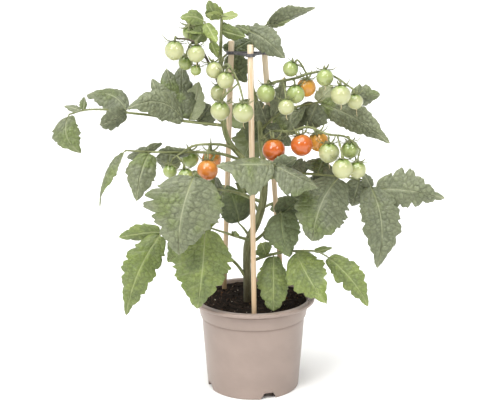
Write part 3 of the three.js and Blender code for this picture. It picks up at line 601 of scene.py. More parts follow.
def add_stalk(form, points, radius, sort, rng, slot=0, **shape):
    """A hairy stalk through `points`, which has `radius(share)` at a share of its length."""
    step, sides, *hairs = STALKS[sort]
    line = even_line(points, step)
    radii = radius(np.linspace(0, 1, len(line)))
    add_tube(form, line, radii, sides, seed=rng.uniform(0, 90), slot=slot, **shape)
    add_hairs(form, line, radii, *hairs, rng, slot=slot)


# ------------------------------------------------------------------ materials

SMOOTHLY = {"interpolation_type": "SMOOTHSTEP"}
# how a mix is set to colours, and which of its outputs then holds them
IN_COLOUR = {"out": 2, "data_type": "RGBA"}


def linear(hex_colour):
    """An sRGB hex value such as "b39f94" as linear red, green and blue."""
    parts = [int(hex_colour[i : i + 2], 16) / 255 for i in (0, 2, 4)]
    return tuple(c / 12.92 if c <= 0.04045 else ((c + 0.055) / 1.055) ** 2.4 for c in parts)


def add_node(tree, kind, sockets=(), out=0, **settings):
    """A node with its settings and links, given back as its output `out`.

    A socket's value is a number, a colour, a hex colour, or another node's output.
    """
    node = tree.nodes.new("ShaderNode" + kind)
    for name, value in settings.items():
        setattr(node, name, value)
    sockets = sockets if isinstance(sockets, dict) else dict(enumerate(sockets))
    for socket, value in sockets.items():
        if isinstance(value, bpy.types.NodeSocket):
            tree.links.new(value, node.inputs[socket])
        else:
            node.inputs[socket].default_value = (*linear(value), 1.0) if isinstance(value, str) else value
    return None if out is None else node.outputs[out]


def read_mark(add, name):
    """A surface mark whole, and its three numbers."""
    whole = add("Attribute", out="Vector", attribute_name=name)
    return (whole, *add("SeparateXYZ", (whole,)).node.outputs)


def patches(add, place, scale, detail, *span, how=SMOOTHLY, **noise_values):
    """Soft patches about 1/`scale` mm apart: the noise itself, and the share that `span` maps it to."""
    cloud = add("TexNoise", {"Vector": place, "Scale": scale, "Detail": detail, **noise_values})
    return cloud, add("MapRange", (cloud, *span), **how)


def finished(add, colour, relief, strength, deep, **values):
    """A skin of `colour`, with a relief about `deep` metres deep."""
    values = {name.replace("_", " "): value for name, value in values.items()}
    bump = add("Bump", {"Height": relief, "Strength": strength, "Distance": deep})
    return add("BsdfPrincipled", {"Base Color": colour, "Normal": bump, **values})


def new_material(name, recipe, *values):
    """A material whose shader `recipe` makes from `values`."""
    material = bpy.data.materials.new(name)
    material.use_nodes = True
    material.node_tree.nodes.clear()
    add = partial(add_node, material.node_tree)
    add("OutputMaterial", (recipe(add, partial(read_mark, add), *values),), out=None)
    return material


def leaf_blade(add, read, upper, light, under, vein, yellowing):
    """Living tomato leaf: a hairy skin, matt above and paler below, with sunken pale veins."""
    place = read("place")[0]
    _, turned_under, tone, swelling = read("kind")
    _, row, off_midrib, spacing = read("vein")

    # the midrib is about 1 mm wide and the side veins half that, drawn a little wider to show
    midrib = add("MapRange", (off_midrib, 1.2, 0.3, 0.0, 1.0), **SMOOTHLY)
    off_vein = add("Math", (row, add("Math", (row,), operation="ROUND")), operation="SUBTRACT")
    off_vein = add("Math", (add("Math", (off_vein,), operation="ABSOLUTE"), spacing), operation="MULTIPLY")
    side_vein = add("MapRange", (off_vein, 0.8, 0.1, 0.0, 0.45), **SMOOTHLY)
    # the net of fine veins has meshes of about 3 mm
    warp = add("TexNoise", {"Vector": place, "Scale": 0.25, "Detail": 2.0}, out="Color")
    bent = add("VectorMath", (place, warp), operation="ADD")
    net = add("TexVoronoi", {"Vector": bent, "Scale": 0.3}, feature="DISTANCE_TO_EDGE")
    lines = add("MapRange", (net, 0.11, 0.0, 0.0, 0.3), **SMOOTHLY)
    for wider in (side_vein, midrib):
        lines = add("Math", (lines, wider), operation="MAXIMUM")

    # blotches of 10 to 20 mm, where the leaf is yellower between its veins
    yellow = patches(add, place, 0.07, 3.0, 0.35, 0.7)[1]
    yellow = add("Math", (yellow, yellowing), operation="MULTIPLY")
    # a leaflet painted lighter is painted yellower too, as part of the same painted light
    lit_yellowing = add("MapRange", (tone, 0.5, 1.0, 0.0, 0.6))
    yellow = add("Math", (yellow, lit_yellowing), operation="ADD", use_clamp=True)
    # patches of 30 to 60 mm where the down is thin, so a stronger green shows through
    thin = patches(add, place, 0.024, 2.0, 0.52, 0.68, 0.0, 0.6)[1]
    pale_lines = add("Math", (lines, 0.4), operation="MULTIPLY")
    below = add("Mix", {0: pale_lines, 6: under, 7: vein}, **IN_COLOUR)
    colour = upper
    for share, coat in ((yellow, light), (thin, "66772f"), (pale_lines, vein), (turned_under, below)):
        colour = add("Mix", {0: share, 6: colour, 7: coat}, **IN_COLOUR)
    # the grooves between its swellings are deep enough to lie in their own shade
    shade = add("MapRange", (swelling, 0.0, 0.75, 0.72, 1.06), **SMOOTHLY)
    shade = add("Mix", {0: turned_under, 2: shade, 3: 1.0})
    # each leaflet is painted darker or lighter by its tone: painted shade for one deep in the foliage,
    # painted light for one in the open, with a little tone that differs at random
    value = add("MapRange", (tone, 0.0, 1.0, 0.62, 1.32))
    for other in (patches(add, place, 0.9, 3.0, 0.3, 0.7, 0.9, 1.1, how={})[1], shade):
        value = add("Math", (value, other), operation="MULTIPLY")
    colour = add("HueSaturation", {"Value": value, "Color": colour})

    # veins lie in grooves above and stand out below
    above = add("Math", (add("Math", (net, 1.6), operation="MULTIPLY"), lines), operation="SUBTRACT")
    height = add("Mix", {0: turned_under, 2: above, 3: lines})
    skin = finished(
        add, colour, height, 0.6, 0.0006, Roughness=0.42, IOR=1.42, Specular_IOR_Level=0.55,
        Sheen_Weight=0.12, Sheen_Roughness=0.5, Sheen_Tint="e9f0dd",
    )
    # a little light comes through the blade
    through = add("BsdfTranslucent", {"Color": add("HueSaturation", {"Saturation": 1.25, "Color": colour})})
    return add("MixShader", (0.08, skin, through))


def green_stalk(add, read, light, dark, flush):
    """Living tomato stalk: ridged and downy, so its outline looks soft, with a purplish flush."""
    place, _, run, _ = read("place")
    _, flushed, withered, woody = read("kind")
    # the main stem goes brown and corky towards its foot
    low = add("MapRange", (run, 150.0, 30.0, 0.25, 0.85), **SMOOTHLY)
    bark = add("Math", (low, woody), operation="MULTIPLY")
    stretched = add("Mapping", {"Vector": place, "Scale": (0.7, 0.08, 1.0)})
    streak = patches(add, stretched, 1.0, 3.0, 0.35, 0.65)[1]
    colour = dark
    for share, coat in ((streak, light), (flushed, flush), (bark, "55483b"), (withered, "cdbb94")):
        colour = add("Mix", {0: share, 6: colour, 7: coat}, **IN_COLOUR)
    down = add("TexNoise", {"Vector": place, "Scale": 2.2, "Detail": 2.0})
    return finished(
        add, colour, down, 0.5, 0.0004, Roughness=0.6, IOR=1.42, Specular_IOR_Level=0.3,
        Sheen_Weight=0.25, Sheen_Roughness=0.4, Sheen_Tint="eef2e2",
    )


def tomato_skin(add, read, shoulder, body, blossom, streaks):
    """Tomato skin: thin, waxy and tight, so it is glossy with soft light inside."""
    place = read("place")[0]
    _, fall, around, _ = read("kind")
    uneven = patches(add, place, 0.12, 3.0, 0.3, 0.7, -0.07, 0.07, how={})[1]
    down = add("Math", (fall, uneven), operation="ADD")
    # paler streaks run from the calyx down, about 2 mm apart
    radial = add("Math", (around, 46.0), operation="MULTIPLY")
    wander = add("TexNoise", {"Vector": place, "Scale": 0.5, "Detail": 2.0})
    wander = add("Math", (wander, 9.0), operation="MULTIPLY")
    wave = add("Math", (add("Math", (radial, wander), operation="ADD"),), operation="SINE")
    wave = add("MapRange", (wave, 0.2, 1.0, 0.0, streaks), **SMOOTHLY)
    high = add("MapRange", (down, 0.75, 0.1, 0.0, 1.0), **SMOOTHLY)
    wave = add("Math", (wave, high), operation="MULTIPLY")
    below_shoulder = add("MapRange", (down, 0.12, 0.52, 0.0, 1.0), **SMOOTHLY)
    low = add("MapRange", (down, 0.55, 0.98, 0.0, 1.0), **SMOOTHLY)
    # a brown scar of 1 mm where the flower was
    scar = add("MapRange", (fall, 0.968, 0.982, 0.0, 1.0), **SMOOTHLY)
    colour = shoulder
    for share, coat in ((below_shoulder, body), (low, blossom), (wave, blossom), (scar, "7d6840")):
        colour = add("Mix", {0: share, 6: colour, 7: coat}, **IN_COLOUR)
    fine = add("TexNoise", {"Vector": place, "Scale": 1.6, "Detail": 2.0})
    return finished(
        add, colour, fine, 0.06, 0.0004, Roughness=0.3, IOR=1.45, Coat_Weight=0.8, Coat_Roughness=0.05,
        Subsurface_Weight=0.12, Subsurface_Radius=(1.0, 0.7, 0.3), Subsurface_Scale=0.0015,
    )


def moulded_polypropylene(add, read, plastic):
    """Pot plastic, moulded: an even satin skin with faint rings from turning the mould."""
    place, _, height, _ = read("place")
    share = patches(add, place, 0.035, 4.0, 0.3, 0.7, 0.0, 1.0)[1]
    lighter = (*(min(1.0, 1.12 * c) for c in plastic), 1.0)
    # soil dust sticks along the rim
    spots = patches(add, place, 0.35, 5.0, 0.58, 0.72, 0.0, 1.0)[1]
    high = add("MapRange", (height, 94.0, 106.0, 0.0, 0.5), **SMOOTHLY)
    spots = add("Math", (spots, high), operation="MULTIPLY")
    colour = (*plastic, 1.0)
    for covered, coat in ((share, lighter), (spots, "5c4a3e")):
        colour = add("Mix", {0: covered, 6: colour, 7: coat}, **IN_COLOUR)
    # turning marks 1.2 mm apart, coarser than life
    stretched = add("Mapping", {"Vector": place, "Scale": (0.01, 0.85, 0.01)})
    ring = add("TexNoise", {"Vector": stretched, "Scale": 1.0, "Detail": 2.0})
    grain = add("TexNoise", {"Vector": place, "Scale": 1.8, "Detail": 2.0})
    grain = add("Math", (grain, 0.35), operation="MULTIPLY")
    relief = add("Math", (ring, grain), operation="ADD")
    return finished(add, colour, relief, 0.18, 0.0004, Roughness=0.36, IOR=1.49, Specular_IOR_Level=0.5)


def potting_compost(add, read):
    """Peat and bark compost: dark and crumbly, with brown fibres and a few pale grains."""
    place = read("place")[0]
    _, pale, bark, _ = read("kind")
    lump, share = patches(add, place, 0.45, 6.0, 0.35, 0.68, 0.0, 1.0, Roughness=0.7)
    cell = add("TexVoronoi", {"Vector": place, "Scale": 0.55}, out="Color")
    chip = add("MapRange", (add("SeparateColor", (cell,)), 0.9, 0.94, 0.0, 0.5), **SMOOTHLY)
    colour = "110d0a"
    for covered, coat in ((share, "2b221b"), (chip, "6b5644"), (pale, "c9bfae"), (bark, "5e412a")):
        colour = add("Mix", {0: covered, 6: colour, 7: coat}, **IN_COLOUR)
    return finished(add, colour, lump, 0.9, 0.0015, Roughness=0.95, IOR=1.4, Specular_IOR_Level=0.2)


def turned_softwood(add, read):
    """Softwood dowel, turned and left raw: pale, with straight grain lines and a few darker streaks."""
    place, _, run, _ = read("place")
    stretched = add("Mapping", {"Vector": place, "Scale": (0.9, 0.02, 1.0)})
    grain, share = patches(add, stretched, 1.0, 5.0, 0.38, 0.66, 0.0, 1.0)
    broad = add("Mapping", {"Vector": place, "Scale": (0.12, 0.012, 1.0)})
    stain = patches(add, broad, 1.0, 2.0, 0.5, 0.75, 0.0, 0.5)[1]
    # painted shade: darker from 280 mm along it down to the soil, where it stands under the foliage
    painted_shade = add("MapRange", (run, 280.0, 20.0, 0.0, 0.65), **SMOOTHLY)
    colour = "e0d2ba"
    for covered, coat in ((share, "cdb28f"), (stain, "bb9268"), (painted_shade, "a98a66")):
        colour = add("Mix", {0: covered, 6: colour, 7: coat}, **IN_COLOUR)
    return finished(add, colour, grain, 0.3, 0.0003, Roughness=0.6, IOR=1.5, Specular_IOR_Level=0.3)


def moulded_nylon(add, read):
    """Dark grey nylon clip, moulded: fine even grain, satin, and slightly worn."""
    place = read("place")[0]
    worn = patches(add, place, 0.3, 4.0, 0.4, 0.7, 0.0, 1.0)[1]
    colour = add("Mix", {0: worn, 6: "434144", 7: "626062"}, **IN_COLOUR)
    grain = add("TexNoise", {"Vector": place, "Scale": 3.0, "Detail": 2.0})
    return finished(add, colour, grain, 0.3, 0.0002, Roughness=0.5, IOR=1.53)


def studio_paper(add, read, colour):
    """Seamless studio paper: matt and almost even, with a trace of fibre."""
    fibre = add("TexNoise", {"Vector": add("TexCoord", out="Object"), "Scale": 300.0, "Detail": 2.0})
    return finished(add, colour, fibre, 0.05, 0.0002, Roughness=0.9, Specular_IOR_Level=0.2)


# ------------------------------------------------------------------ pot and soil


def add_turned(form, profile, segments, wobble=None):
    """A profile of (radius, height) from axis to axis, turned round the z axis."""
    profile = np.asarray(profile, float)
    inner, ends = profile[1:-1], profile[[0, -1], 1:] * UP
    points = turned(inner, segments)
    if wobble:
        wobble(points)
    reach = np.broadcast_to(inner[:, :1], points.shape[:2])
    place = np.stack([reach * circle(segments)[0], points[..., 2], reach], axis=-1)
    points, place = (np.vstack([v.reshape(-1, 3), ends]) for v in (points, place))
    form.add(points, grid_faces(len(inner), segments, closed=True, ends="points"), place=place)


def body_radius(z):
    """The pot's outer radius at a height z of its body."""
    return BASE_RADIUS + (BODY_TOP_RADIUS - BASE_RADIUS) * z / BODY_TOP


def pot_profile():
    """Up the outside from under the middle of the floor, over the rim and down the inside."""
    flange, floor = POT_HEIGHT - FLANGE, CHANNEL + FLOOR_THICK
    foot, head = COLLAR_RADIUS
    return [
        (0, 0), (CENTRE_RADIUS, 0), (CENTRE_RADIUS + 4, CHANNEL), (FOOT_INNER - 2, CHANNEL),
        (FOOT_INNER, 0), (BASE_RADIUS - 0.4, 0),
        *((body_radius(z), z) for z in (1.2, 4, NOTCH["height"] + 0.8, 12, 20, 35, 55, 75)),
        (BODY_TOP_RADIUS - 0.2, BODY_TOP - 2), (BODY_TOP_RADIUS - 0.8, BODY_TOP),
        (BODY_TOP_RADIUS - 0.5, BODY_TOP + 0.9), (foot, BODY_TOP + 1.3),
        (head - 0.2, flange - 3.2), (head - 0.9, flange - 2),
        (head - 0.7, flange), (RIM_RADIUS - 0.9, flange), (RIM_RADIUS, flange + 1),
        (RIM_RADIUS, POT_HEIGHT - 0.9), (RIM_RADIUS - 0.9, POT_HEIGHT),
        (MOUTH_RADIUS, POT_HEIGHT), (head - POT_WALL, flange),
        (foot - POT_WALL, BODY_TOP + 1.2), (BODY_TOP_RADIUS - POT_WALL, BODY_TOP - 0.8),
        (body_radius(floor) - POT_WALL, floor), (CENTRE_RADIUS + 2, floor), (CENTRE_RADIUS - 2, FLOOR_THICK),
        (0, FLOOR_THICK),
    ]


def cutter(near, far):
    """A prism between two outlines of as many points."""
    points = (np.vstack([near, far]) * MM).tolist()
    tool = new_object("cutter", points, grid_faces(2, len(near), closed=True, ends="flats"))
    face_outwards(tool.data)
    return tool


def pot_cutters():
    """The notches in the foot, and the drain holes through the floor."""
    tools = []
    bottom, top, high = NOTCH["bottom"] / 2 + 0.6, NOTCH["top"] / 2, NOTCH["height"]
    for i in range(NOTCH["count"]):
        turn = math.radians(NOTCH["first"] + 360 * i / NOTCH["count"])
        out = np.array([math.sin(turn), -math.cos(turn), 0])
        side = np.array([math.cos(turn), math.sin(turn), 0])
        section = np.array([
            side * half + UP * z for half, z in ((-bottom, -1), (bottom, -1), (top, high), (-top, high))
        ])
        tools.append(cutter(section + out * (FOOT_INNER - 6), section + out * (FOOT_INNER + 6)))
    for i in range(DRAIN["count"]):
        turn = 2 * math.pi * (i + 0.5) / DRAIN["count"]
        middle = DRAIN["at"] * np.array([math.cos(turn), math.sin(turn), 0])
        ring = circle(24)[1] * DRAIN["radius"] + middle
        tools.append(cutter(ring + UP * (CHANNEL - 2), ring + UP * (CHANNEL + 4)))
    return tools


def cut_out(piece, tools):
    """Cuts `tools` out of a piece for good, and removes them."""
    for tool in tools:
        step = piece.modifiers.new("cut", "BOOLEAN")
        step.operation, step.object, step.solver = "DIFFERENCE", tool, "EXACT"
    whole = piece.data
    depsgraph = bpy.context.evaluated_depsgraph_get()
    piece.data = bpy.data.meshes.new_from_object(piece.evaluated_get(depsgraph), depsgraph=depsgraph)
    piece.modifiers.clear()
    for mesh in [whole, *(tool.data for tool in tools)]:
        bpy.data.meshes.remove(mesh)
    piece.data.name = piece.name


def pot_piece(material):
    form = Form()
    add_turned(form, rounded(pot_profile(), 0.6), POT_SEGMENTS)
    piece = form.make("growers_pot", [material], "pot_plastic", ["pot"])
    cut_out(piece, pot_cutters())
    piece.data.set_sharp_from_angle(angle=math.radians(32))


def soil_height(x, y):
    """The crumbly top of the soil: a slight mound, heaped at the back, with lumps of 3 to 20 mm."""
    far = math.hypot(x, y) / 59
    rough = 1.5 * noise.noise((x / 19, y / 19, 3.1)) + 1.1 * noise.noise((x / 7, y / 7, 8.2))
    rough += 0.7 * noise.noise((x / 3, y / 3, 1.7))
    heaped = 4.5 * far**3 * min(1.0, max(0.0, (y + 15) / 50))
    return SOIL_LEVEL + 0.5 - far**2 + rough + heaped


def soil_piece(material):
    form, low, floor = Form(), FLOOR_THICK + GAP, CHANNEL + FLOOR_THICK + GAP
    wall = [
        (0, low), (CENTRE_RADIUS - low, low), (CENTRE_RADIUS + 2 - GAP, floor),
        (body_radius(floor) - POT_WALL - GAP, floor),
        (BODY_TOP_RADIUS - POT_WALL - 0.4, BODY_TOP), (COLLAR_RADIUS[0] - POT_WALL - 0.5, BODY_TOP + 2.4),
    ]
    edge = COLLAR_RADIUS[1] - POT_WALL - 0.9
    top = [(edge * (1 - i / SOIL_RINGS), SOIL_LEVEL) for i in range(SOIL_RINGS + 1)]

    def crumble(points):
        for point in points[len(wall) - 1 :].reshape(-1, 3):
            point[2] = soil_height(*point[:2])

    add_turned(form, wall + top, POT_SEGMENTS, crumble)
    form.make("potting_soil", [material], "soil", ["soil"])


def add_crumb(form, middle, size, rng, kind):
    """A loose grain: a lump with blunt corners, squashed and turned at random."""
    shape = bmesh.new()
    bmesh.ops.create_icosphere(shape, subdivisions=1, radius=1.0)
    points = np.array([v.co for v in shape.verts])
    faces = [tuple(v.index for v in f.verts) for f in shape.faces]
    shape.free()
    points = points * rng.uniform(0.75, 1.2, (len(points), 1)) * rng.uniform(0.55, 1.0, 3) * size
    turn = np.linalg.qr(rng.normal(size=(3, 3)))[0]
    points = points @ turn + middle
    form.add(points, faces, place=points, kind=kind)


def crumbs_piece(material, count):
    """Loose grains on the soil, a few of them pale or of bark, and a few spilled on the rim."""
    form, rng = Form(), np.random.default_rng(17)
    for i in range(count):
        far, turn = 58 * math.sqrt(rng.uniform(0, 1)), rng.uniform(0, 2 * math.pi)
        x, y = far * math.cos(turn), far * math.sin(turn)
        size = 0.5 + 1.5 * rng.uniform(0, 1) ** 3
        pale, bark = float(i % 13 == 0), float(i % 7 == 3)
        middle = (x, y, soil_height(x, y) + size * 0.3)
        add_crumb(form, middle, size * (0.8 if pale else 1.0), rng, (pale, bark, 0))
    for i in range(SPILLED):
        turn = math.radians(rng.uniform(-35, 25))
        far = rng.uniform(64, 69)
        size = rng.uniform(0.35, 0.9)
        middle = (far * math.cos(turn), far * math.sin(turn), POT_HEIGHT + size * 0.4)
        add_crumb(form, middle, size, rng, (0, float(i % 3 == 0), 0))
    form.make("soil_crumbs", [material], "soil")


# ------------------------------------------------------------------ canes and clip


def cane_piece(name, material, seed):
    """A dowel with a cut point below and a flat, slightly broken top."""
    foot, head, above = CANES[name]
    low, high = np.array([*foot, SOIL_LEVEL], float), np.array([*head, CLIP_HEIGHT], float)
    along = unit(high - low)
    bottom, top = low - along * CANE_BURY, high + along * above
    length = np.linalg.norm(top - bottom)
    shaft = np.linspace(CANE_POINT + 12, length - 1, 26)
    at = np.concatenate([[0, 4, CANE_POINT], shaft, [length - 0.5, length]])
    radii = np.full(len(at), CANE_RADIUS)
    radii[:2] = 0.4, 1.2
    radii[-2:] = CANE_RADIUS - 0.2, CANE_RADIUS - 0.6
    radii *= np.interp(at, [0, length], CANE_TAPER)
    angle, ring = circle(28)
    across, other = two_across(along, (0, 1, 0))
    ring = across * ring[:, :1] + other * ring[:, 1:2]
    # it isn't quite round: flats of about 0.2 mm run its whole length
    flat = 1 - 0.035 * (1 + np.cos(3 * angle + seed)) / 2 - 0.02 * (1 + np.cos(7 * angle + 2 * seed)) / 2
    points = bottom + along * at[:, None, None] + ring * (radii[:, None] * flat)[..., None]
    place = np.stack(np.broadcast_arrays(CANE_RADIUS * angle, at[:, None], 40.0 * seed), axis=-1)
    form = Form()
    form.add(
        np.vstack([points.reshape(-1, 3), bottom, top]),
        grid_faces(len(at), len(angle), closed=True, ends="points"),
        place=np.vstack([place.reshape(-1, 3), (0, 0, 40 * seed), (0, length, 40 * seed)]),
    )
    form.make(name + "_dowel", [material], "cane_wood", [name], sharp=50)


def clip_piece(material):
    """Three collars on the canes and three bars between them, moulded in one."""
    heads = [np.array([*head, CLIP_HEIGHT], float) for _, head, _ in CANES.values()]
    half, outer, inner = CLIP["thick"] / 2, CLIP["collar"], CANE_RADIUS + GAP
    ring = rounded([(inner, -half), (outer, -half), (outer, half), (inner, half), (inner, -half)], 0.6)[1:]
    form, segments, steps = Form(), 40, 8
    for head in heads:
        points = turned(ring, segments) + head
        form.add(points, grid_faces(len(ring), segments, closed=True, looped=True), place=points)
    wide, high = CLIP["bar"] / 2, half - 0.4
    section = [(-wide, -high), (wide, -high), (wide, high), (-wide, high), (-wide, -high)]
    section = rounded(section, CLIP["corner"])[1:]
    for head, end in zip(heads, heads[1:] + heads[:1]):
        along = unit(end - head)
        side = np.cross(UP, along)
        start, stop = head + along * (outer - 0.7), end - along * (outer - 0.7)
        points = [
            start + (stop - start) * t + side * u + UP * v
            for t in np.linspace(0, 1, steps) for u, v in section
        ]
        form.add(points, grid_faces(steps, len(section), closed=True, ends="flats"), place=points)
    form.make("cane_clip", [material], "clip_plastic", ["clip"], sharp=50)


# ------------------------------------------------------------------ leaves


def blade_rim(v, taper):
    """How wide a leaflet is at a share v of its blade, from 0 at its base to 1 at its tip."""
    v = np.clip(v, 0, 1)
    early = BLADE["blunt"] + (BLADE["drawn"] - BLADE["blunt"]) * taper
    return np.maximum(np.sin(np.pi * v**early), 0) ** (BLADE["full"] + BLADE["hollow"] * v * taper)


def turned_about(v, axis, degrees):
    """A direction turned about an axis."""
    angle = math.radians(degrees)
    level, off = axis * (axis @ v), np.cross(axis, v)
    return v * math.cos(angle) + off * math.sin(angle) + level * (1 - math.cos(angle))


def swellings(across, along, size, rng):
    """From 0 in the grooves between a blade's swellings to 1 on top of each, `size` mm apart."""
    across = across / 1.25
    columns = np.arange(across.min() - size, across.max() + 2 * size, size)
    rows = np.arange(along.min() - size, along.max() + 2 * size, size)
    middles = np.stack(np.meshgrid(columns, rows), axis=-1).reshape(-1, 2)
    middles = middles + rng.uniform(-0.45, 0.45, middles.shape) * size
    gaps = np.hypot(across.reshape(-1, 1) - middles[:, 0], along.reshape(-1, 1) - middles[:, 1])
    two = np.argpartition(gaps, 1, axis=1)[:, :2]
    nearest, next_one = np.take_along_axis(gaps, two, axis=1).T
    rise = np.clip((next_one - nearest) / (0.75 * size), 0, 1)
    tops = rng.uniform(0.35, 1, len(middles))
    return ((1 - (1 - rise) ** 2) * tops[two[:, 0]]).reshape(across.shape)


def blade_outline(w, lobes, width, own, seed, rng):
    """Where each side vein leaves the midrib, how far out it runs on either side, and where it ends.

    w counts along the midrib. The veins fan out of the base before w = 0, and the last ones close
    over the tip. Places are shares of the blade's length.
    """
    phase = w * lobes
    fan = np.clip((w + 0.5 / lobes) * 2 * lobes, 0, 1)
    over = np.clip((w - (lobes - 1) / lobes) * lobes, 0, 1)
    widest = width / 2 * blade_rim(np.where(over > 0, 1 - 0.5 / lobes, w + 0.5 / lobes), own["taper"])
    middle = np.where(w < 0, -BLADE["stalk"] * 0.5 * (1 - fan), w)
    notch = 1 - np.abs(np.cos(math.pi * phase)) ** 0.75
    half, edge = np.zeros((2, len(w), 2))
    for s in range(2):
        reach, shift, depth = (
            np.interp(phase, np.arange(lobes + 1), rng.uniform(*span, lobes + 1)) for span in LOBE_RANGES
        )
        depth = own["cut"] * depth * (0.25 if own["smooth"] and s == 0 else 1.0)
        tooth = 1 - np.abs(np.cos(math.pi * (2 * phase + 0.5 + shift))) ** 0.8
        h = widest * reach * (1 - depth * notch - 0.06 * tooth * (fan > 0.99))
        h *= 1 + 0.03 * np.sin(9.1 * phase + seed + 2 * s) + 0.02 * np.sin(17.3 * phase + 2 * seed + s)
        h = np.where(w < 0, BLADE["neck"] + (h[np.searchsorted(w, 0)] - BLADE["neck"]) * fan**0.55, h)
        closing = (1 - over) ** 0.9 * (1 - 0.1 * np.sin(math.pi * over * 2) ** 2)
        h = np.where(over > 0, h[np.searchsorted(over, 0, "right") - 1] * closing, h)
        lead = BLADE["lobe"] + (0.5 + BLADE["lead"] - BLADE["lobe"]) * notch + shift * (over == 0)
        lead /= lobes
        base = middle * (1 - fan) + (lead * fan**1.4 - 0.2 * np.sin(math.pi * fan) / lobes)
        start = (lobes - 1 + BLADE["lobe"]) / lobes
        e = np.where(over > 0, start + (1 - start) * over, np.where(w < 0, base, w + lead))
        half[:, s], edge[:, s] = np.maximum(h, 0.25), e
    return middle, half, edge


def two_sided(rows, columns):
    """The faces of a thin blade: its upper side, the underside that follows it, and the rim."""
    size = rows * columns
    grid = np.arange(size).reshape(rows, columns)
    rim = np.concatenate([grid[0, :-1], grid[:-1, -1], grid[-1, :0:-1], grid[:0:-1, 0]]).tolist()
    faces = grid_faces(rows, columns)
    faces += [face[::-1] for face in grid_faces(rows, columns, start=size)]
    return faces + [(b, a, a + size, b + size) for a, b in zip(rim, rim[1:] + rim[:1])]


def add_leaflet(form, base, tip, width, roll, lobes=3, given=None, *, puffed, rng):
    """A leaflet from `base` to `tip`: a thin lobed blade that bulges between its veins.

    roll 0 turns its upper face to the front and 180 its underside. sway bends the midrib to the
    right-hand side, bow arches it towards that face, and fold drops the two halves away from it.
    """
    own = USUAL | (given or {})
    chord = tip - base
    length = np.linalg.norm(chord)
    along = chord / length
    face = EYE - (base + chord / 2)
    face = turned_about(unit(face - along * (face @ along)), along, roll)
    side = np.cross(along, face)
    seed = rng.uniform(0, 400)

    def bent(s, across, height):
        """Points at a share s of the whole length, so far across the midrib and so high above it."""
        arch = length * 4 * s * (1 - s)
        line = base + along * (length * s)[..., None] + side * (own["sway"] * arch)[..., None]
        return line + side * across[..., None] + face * (own["bow"] * arch + height)[..., None]

    # a row of points follows each side vein, and the row runs forward
    step = 1.0 if roll < 120 else 1.5
    rows = max(int(length / step), int(8 * (lobes + 0.5))) + 1
    w = np.linspace(-0.5 / lobes, 1, rows)
    u = np.linspace(0, 1, int(np.clip(width / 2 / step, 6, 36)) + 1) ** 1.25
    u = np.concatenate([-u[:0:-1], u])
    middle, half, edge = blade_outline(w, lobes, width, own, seed, rng)
    right, r = (u > 0).astype(int), np.abs(u)
    lateral = half[:, right] * u
    v = middle[:, None] + (edge[:, right] - middle[:, None]) * r**1.1
    s = BLADE["stalk"] + (1 - BLADE["stalk"]) * v

    # the blade bulges up between its side veins, and again in the meshes of the smaller ones
    phase, spacing = w[:, None] * lobes, length * (1 - BLADE["stalk"]) / lobes
    quilt = min(1.0, 0.35 + width / 60) * puffed * bpy.context.scene.tomato_plant.quilting
    free = smooth(r, 0.02, 0.15) * (1 - 0.5 * r**4) * np.minimum(1, half.mean(axis=1)[:, None] / 6)
    bulge = 0.085 * min(spacing, 20) * quilt * np.abs(np.sin(math.pi * phase)) ** 0.7
    swelling = swellings(lateral, s * length, SWELLINGS["apart"] + SWELLINGS["spread"] * width, rng)
    buckle = np.sin(lateral / 11 + seed) * np.sin(s * length / 13 + 2 * seed)
    patchy = 1 - 0.4 * smooth(buckle, -0.2, 0.6)
    curl = 0.015 + 0.045 * smooth(np.sin(s * length / 9 + seed + 2 * right), -0.4, 1)
    wave = BLADE["ripple"] * r * np.sin(2 * math.pi * BLADE["waves"] * v + np.where(u < 0, 2.0, 0.0))
    height = width * (wave + 0.02 * buckle * r - curl * r**4)
    height += (bulge + SWELLINGS["height"] * quilt * patchy * swelling) * free
    points = bent(s, lateral, height - own["fold"] * (np.sqrt(lateral**2 + 1.5) - 1.2))

    normal = np.cross(np.gradient(points, axis=0), np.gradient(points, axis=1))
    normal = unit(normal + 1e-9)
    normal *= np.sign(np.sum(normal * face, axis=-1, keepdims=True) + 1e-12)
    normal = unit(normal + 0.4 * face)
    thick = (BLADE_THICK["middle"] - BLADE_THICK["rim"] * r**4)[:, None]
    rib = (np.exp(-((lateral / 0.8) ** 2)) * (1 - s))[..., None]
    upper = points + normal * (thick - BLADE_THICK["groove"] * rib)
    under = points - normal * (thick + BLADE_THICK["rib"] * rib)

    place = np.stack([lateral, s * length, np.full_like(lateral, seed)], axis=-1)
    vein = np.stack(np.broadcast_arrays(phase, np.abs(lateral), spacing), axis=-1)
    # painted shade and light given per leaflet, darker deep in the foliage and lighter in the open, with a
    # little random tone
    shade_and_tint = 0.5 + 0.4 * own["tone"] + rng.uniform(-0.1, 0.1)
    high = swelling * free + 1 - free
    kinds = [np.stack(np.broadcast_arrays(turned_under, shade_and_tint, high), axis=-1) for turned_under in (0, 1)]
    form.add(
        [upper, under], two_sided(*lateral.shape), place=[place, place], vein=[vein, vein], kind=kinds,
    )

    # its own short stalk, which runs on under the blade as the midrib
    s = np.linspace(0, 0.4, 9)
    thick = 0.55 + min(width, 60) * 0.008
    add_tube(form, bent(s, 0 * s, -0.5), np.linspace(thick, 0.35, len(s)), 8, seed=seed, slot=1)


def add_leaf(form, spine, leaflets, puffed, rng):
    """A compound leaf: its stalk, hairs and all, and its leaflets, `puffed` up between their veins."""
    points = [sighted(p) for p in spine]
    add_stalk(form, points, tapering(*RACHIS), "leaf", rng, slot=1, ribs=0.12, rib_count=4)
    for place, tip, *shape in leaflets:
        add_leaflet(form, on_line(points, place)[0], sighted(tip), *shape, puffed=puffed, rng=rng)


def leaf_piece(name, blades, stalk, seed):
    colour, spine, leaflets = LEAVES[name]
    form = Form()
    add_leaf(form, spine, leaflets, PUFFED[colour], np.random.default_rng(100 + seed))
    form.make(name.replace("leaf", "foliage"), [blades[colour], stalk], "leaf_" + colour, [name])


# ------------------------------------------------------------------ stem, trusses and fruit


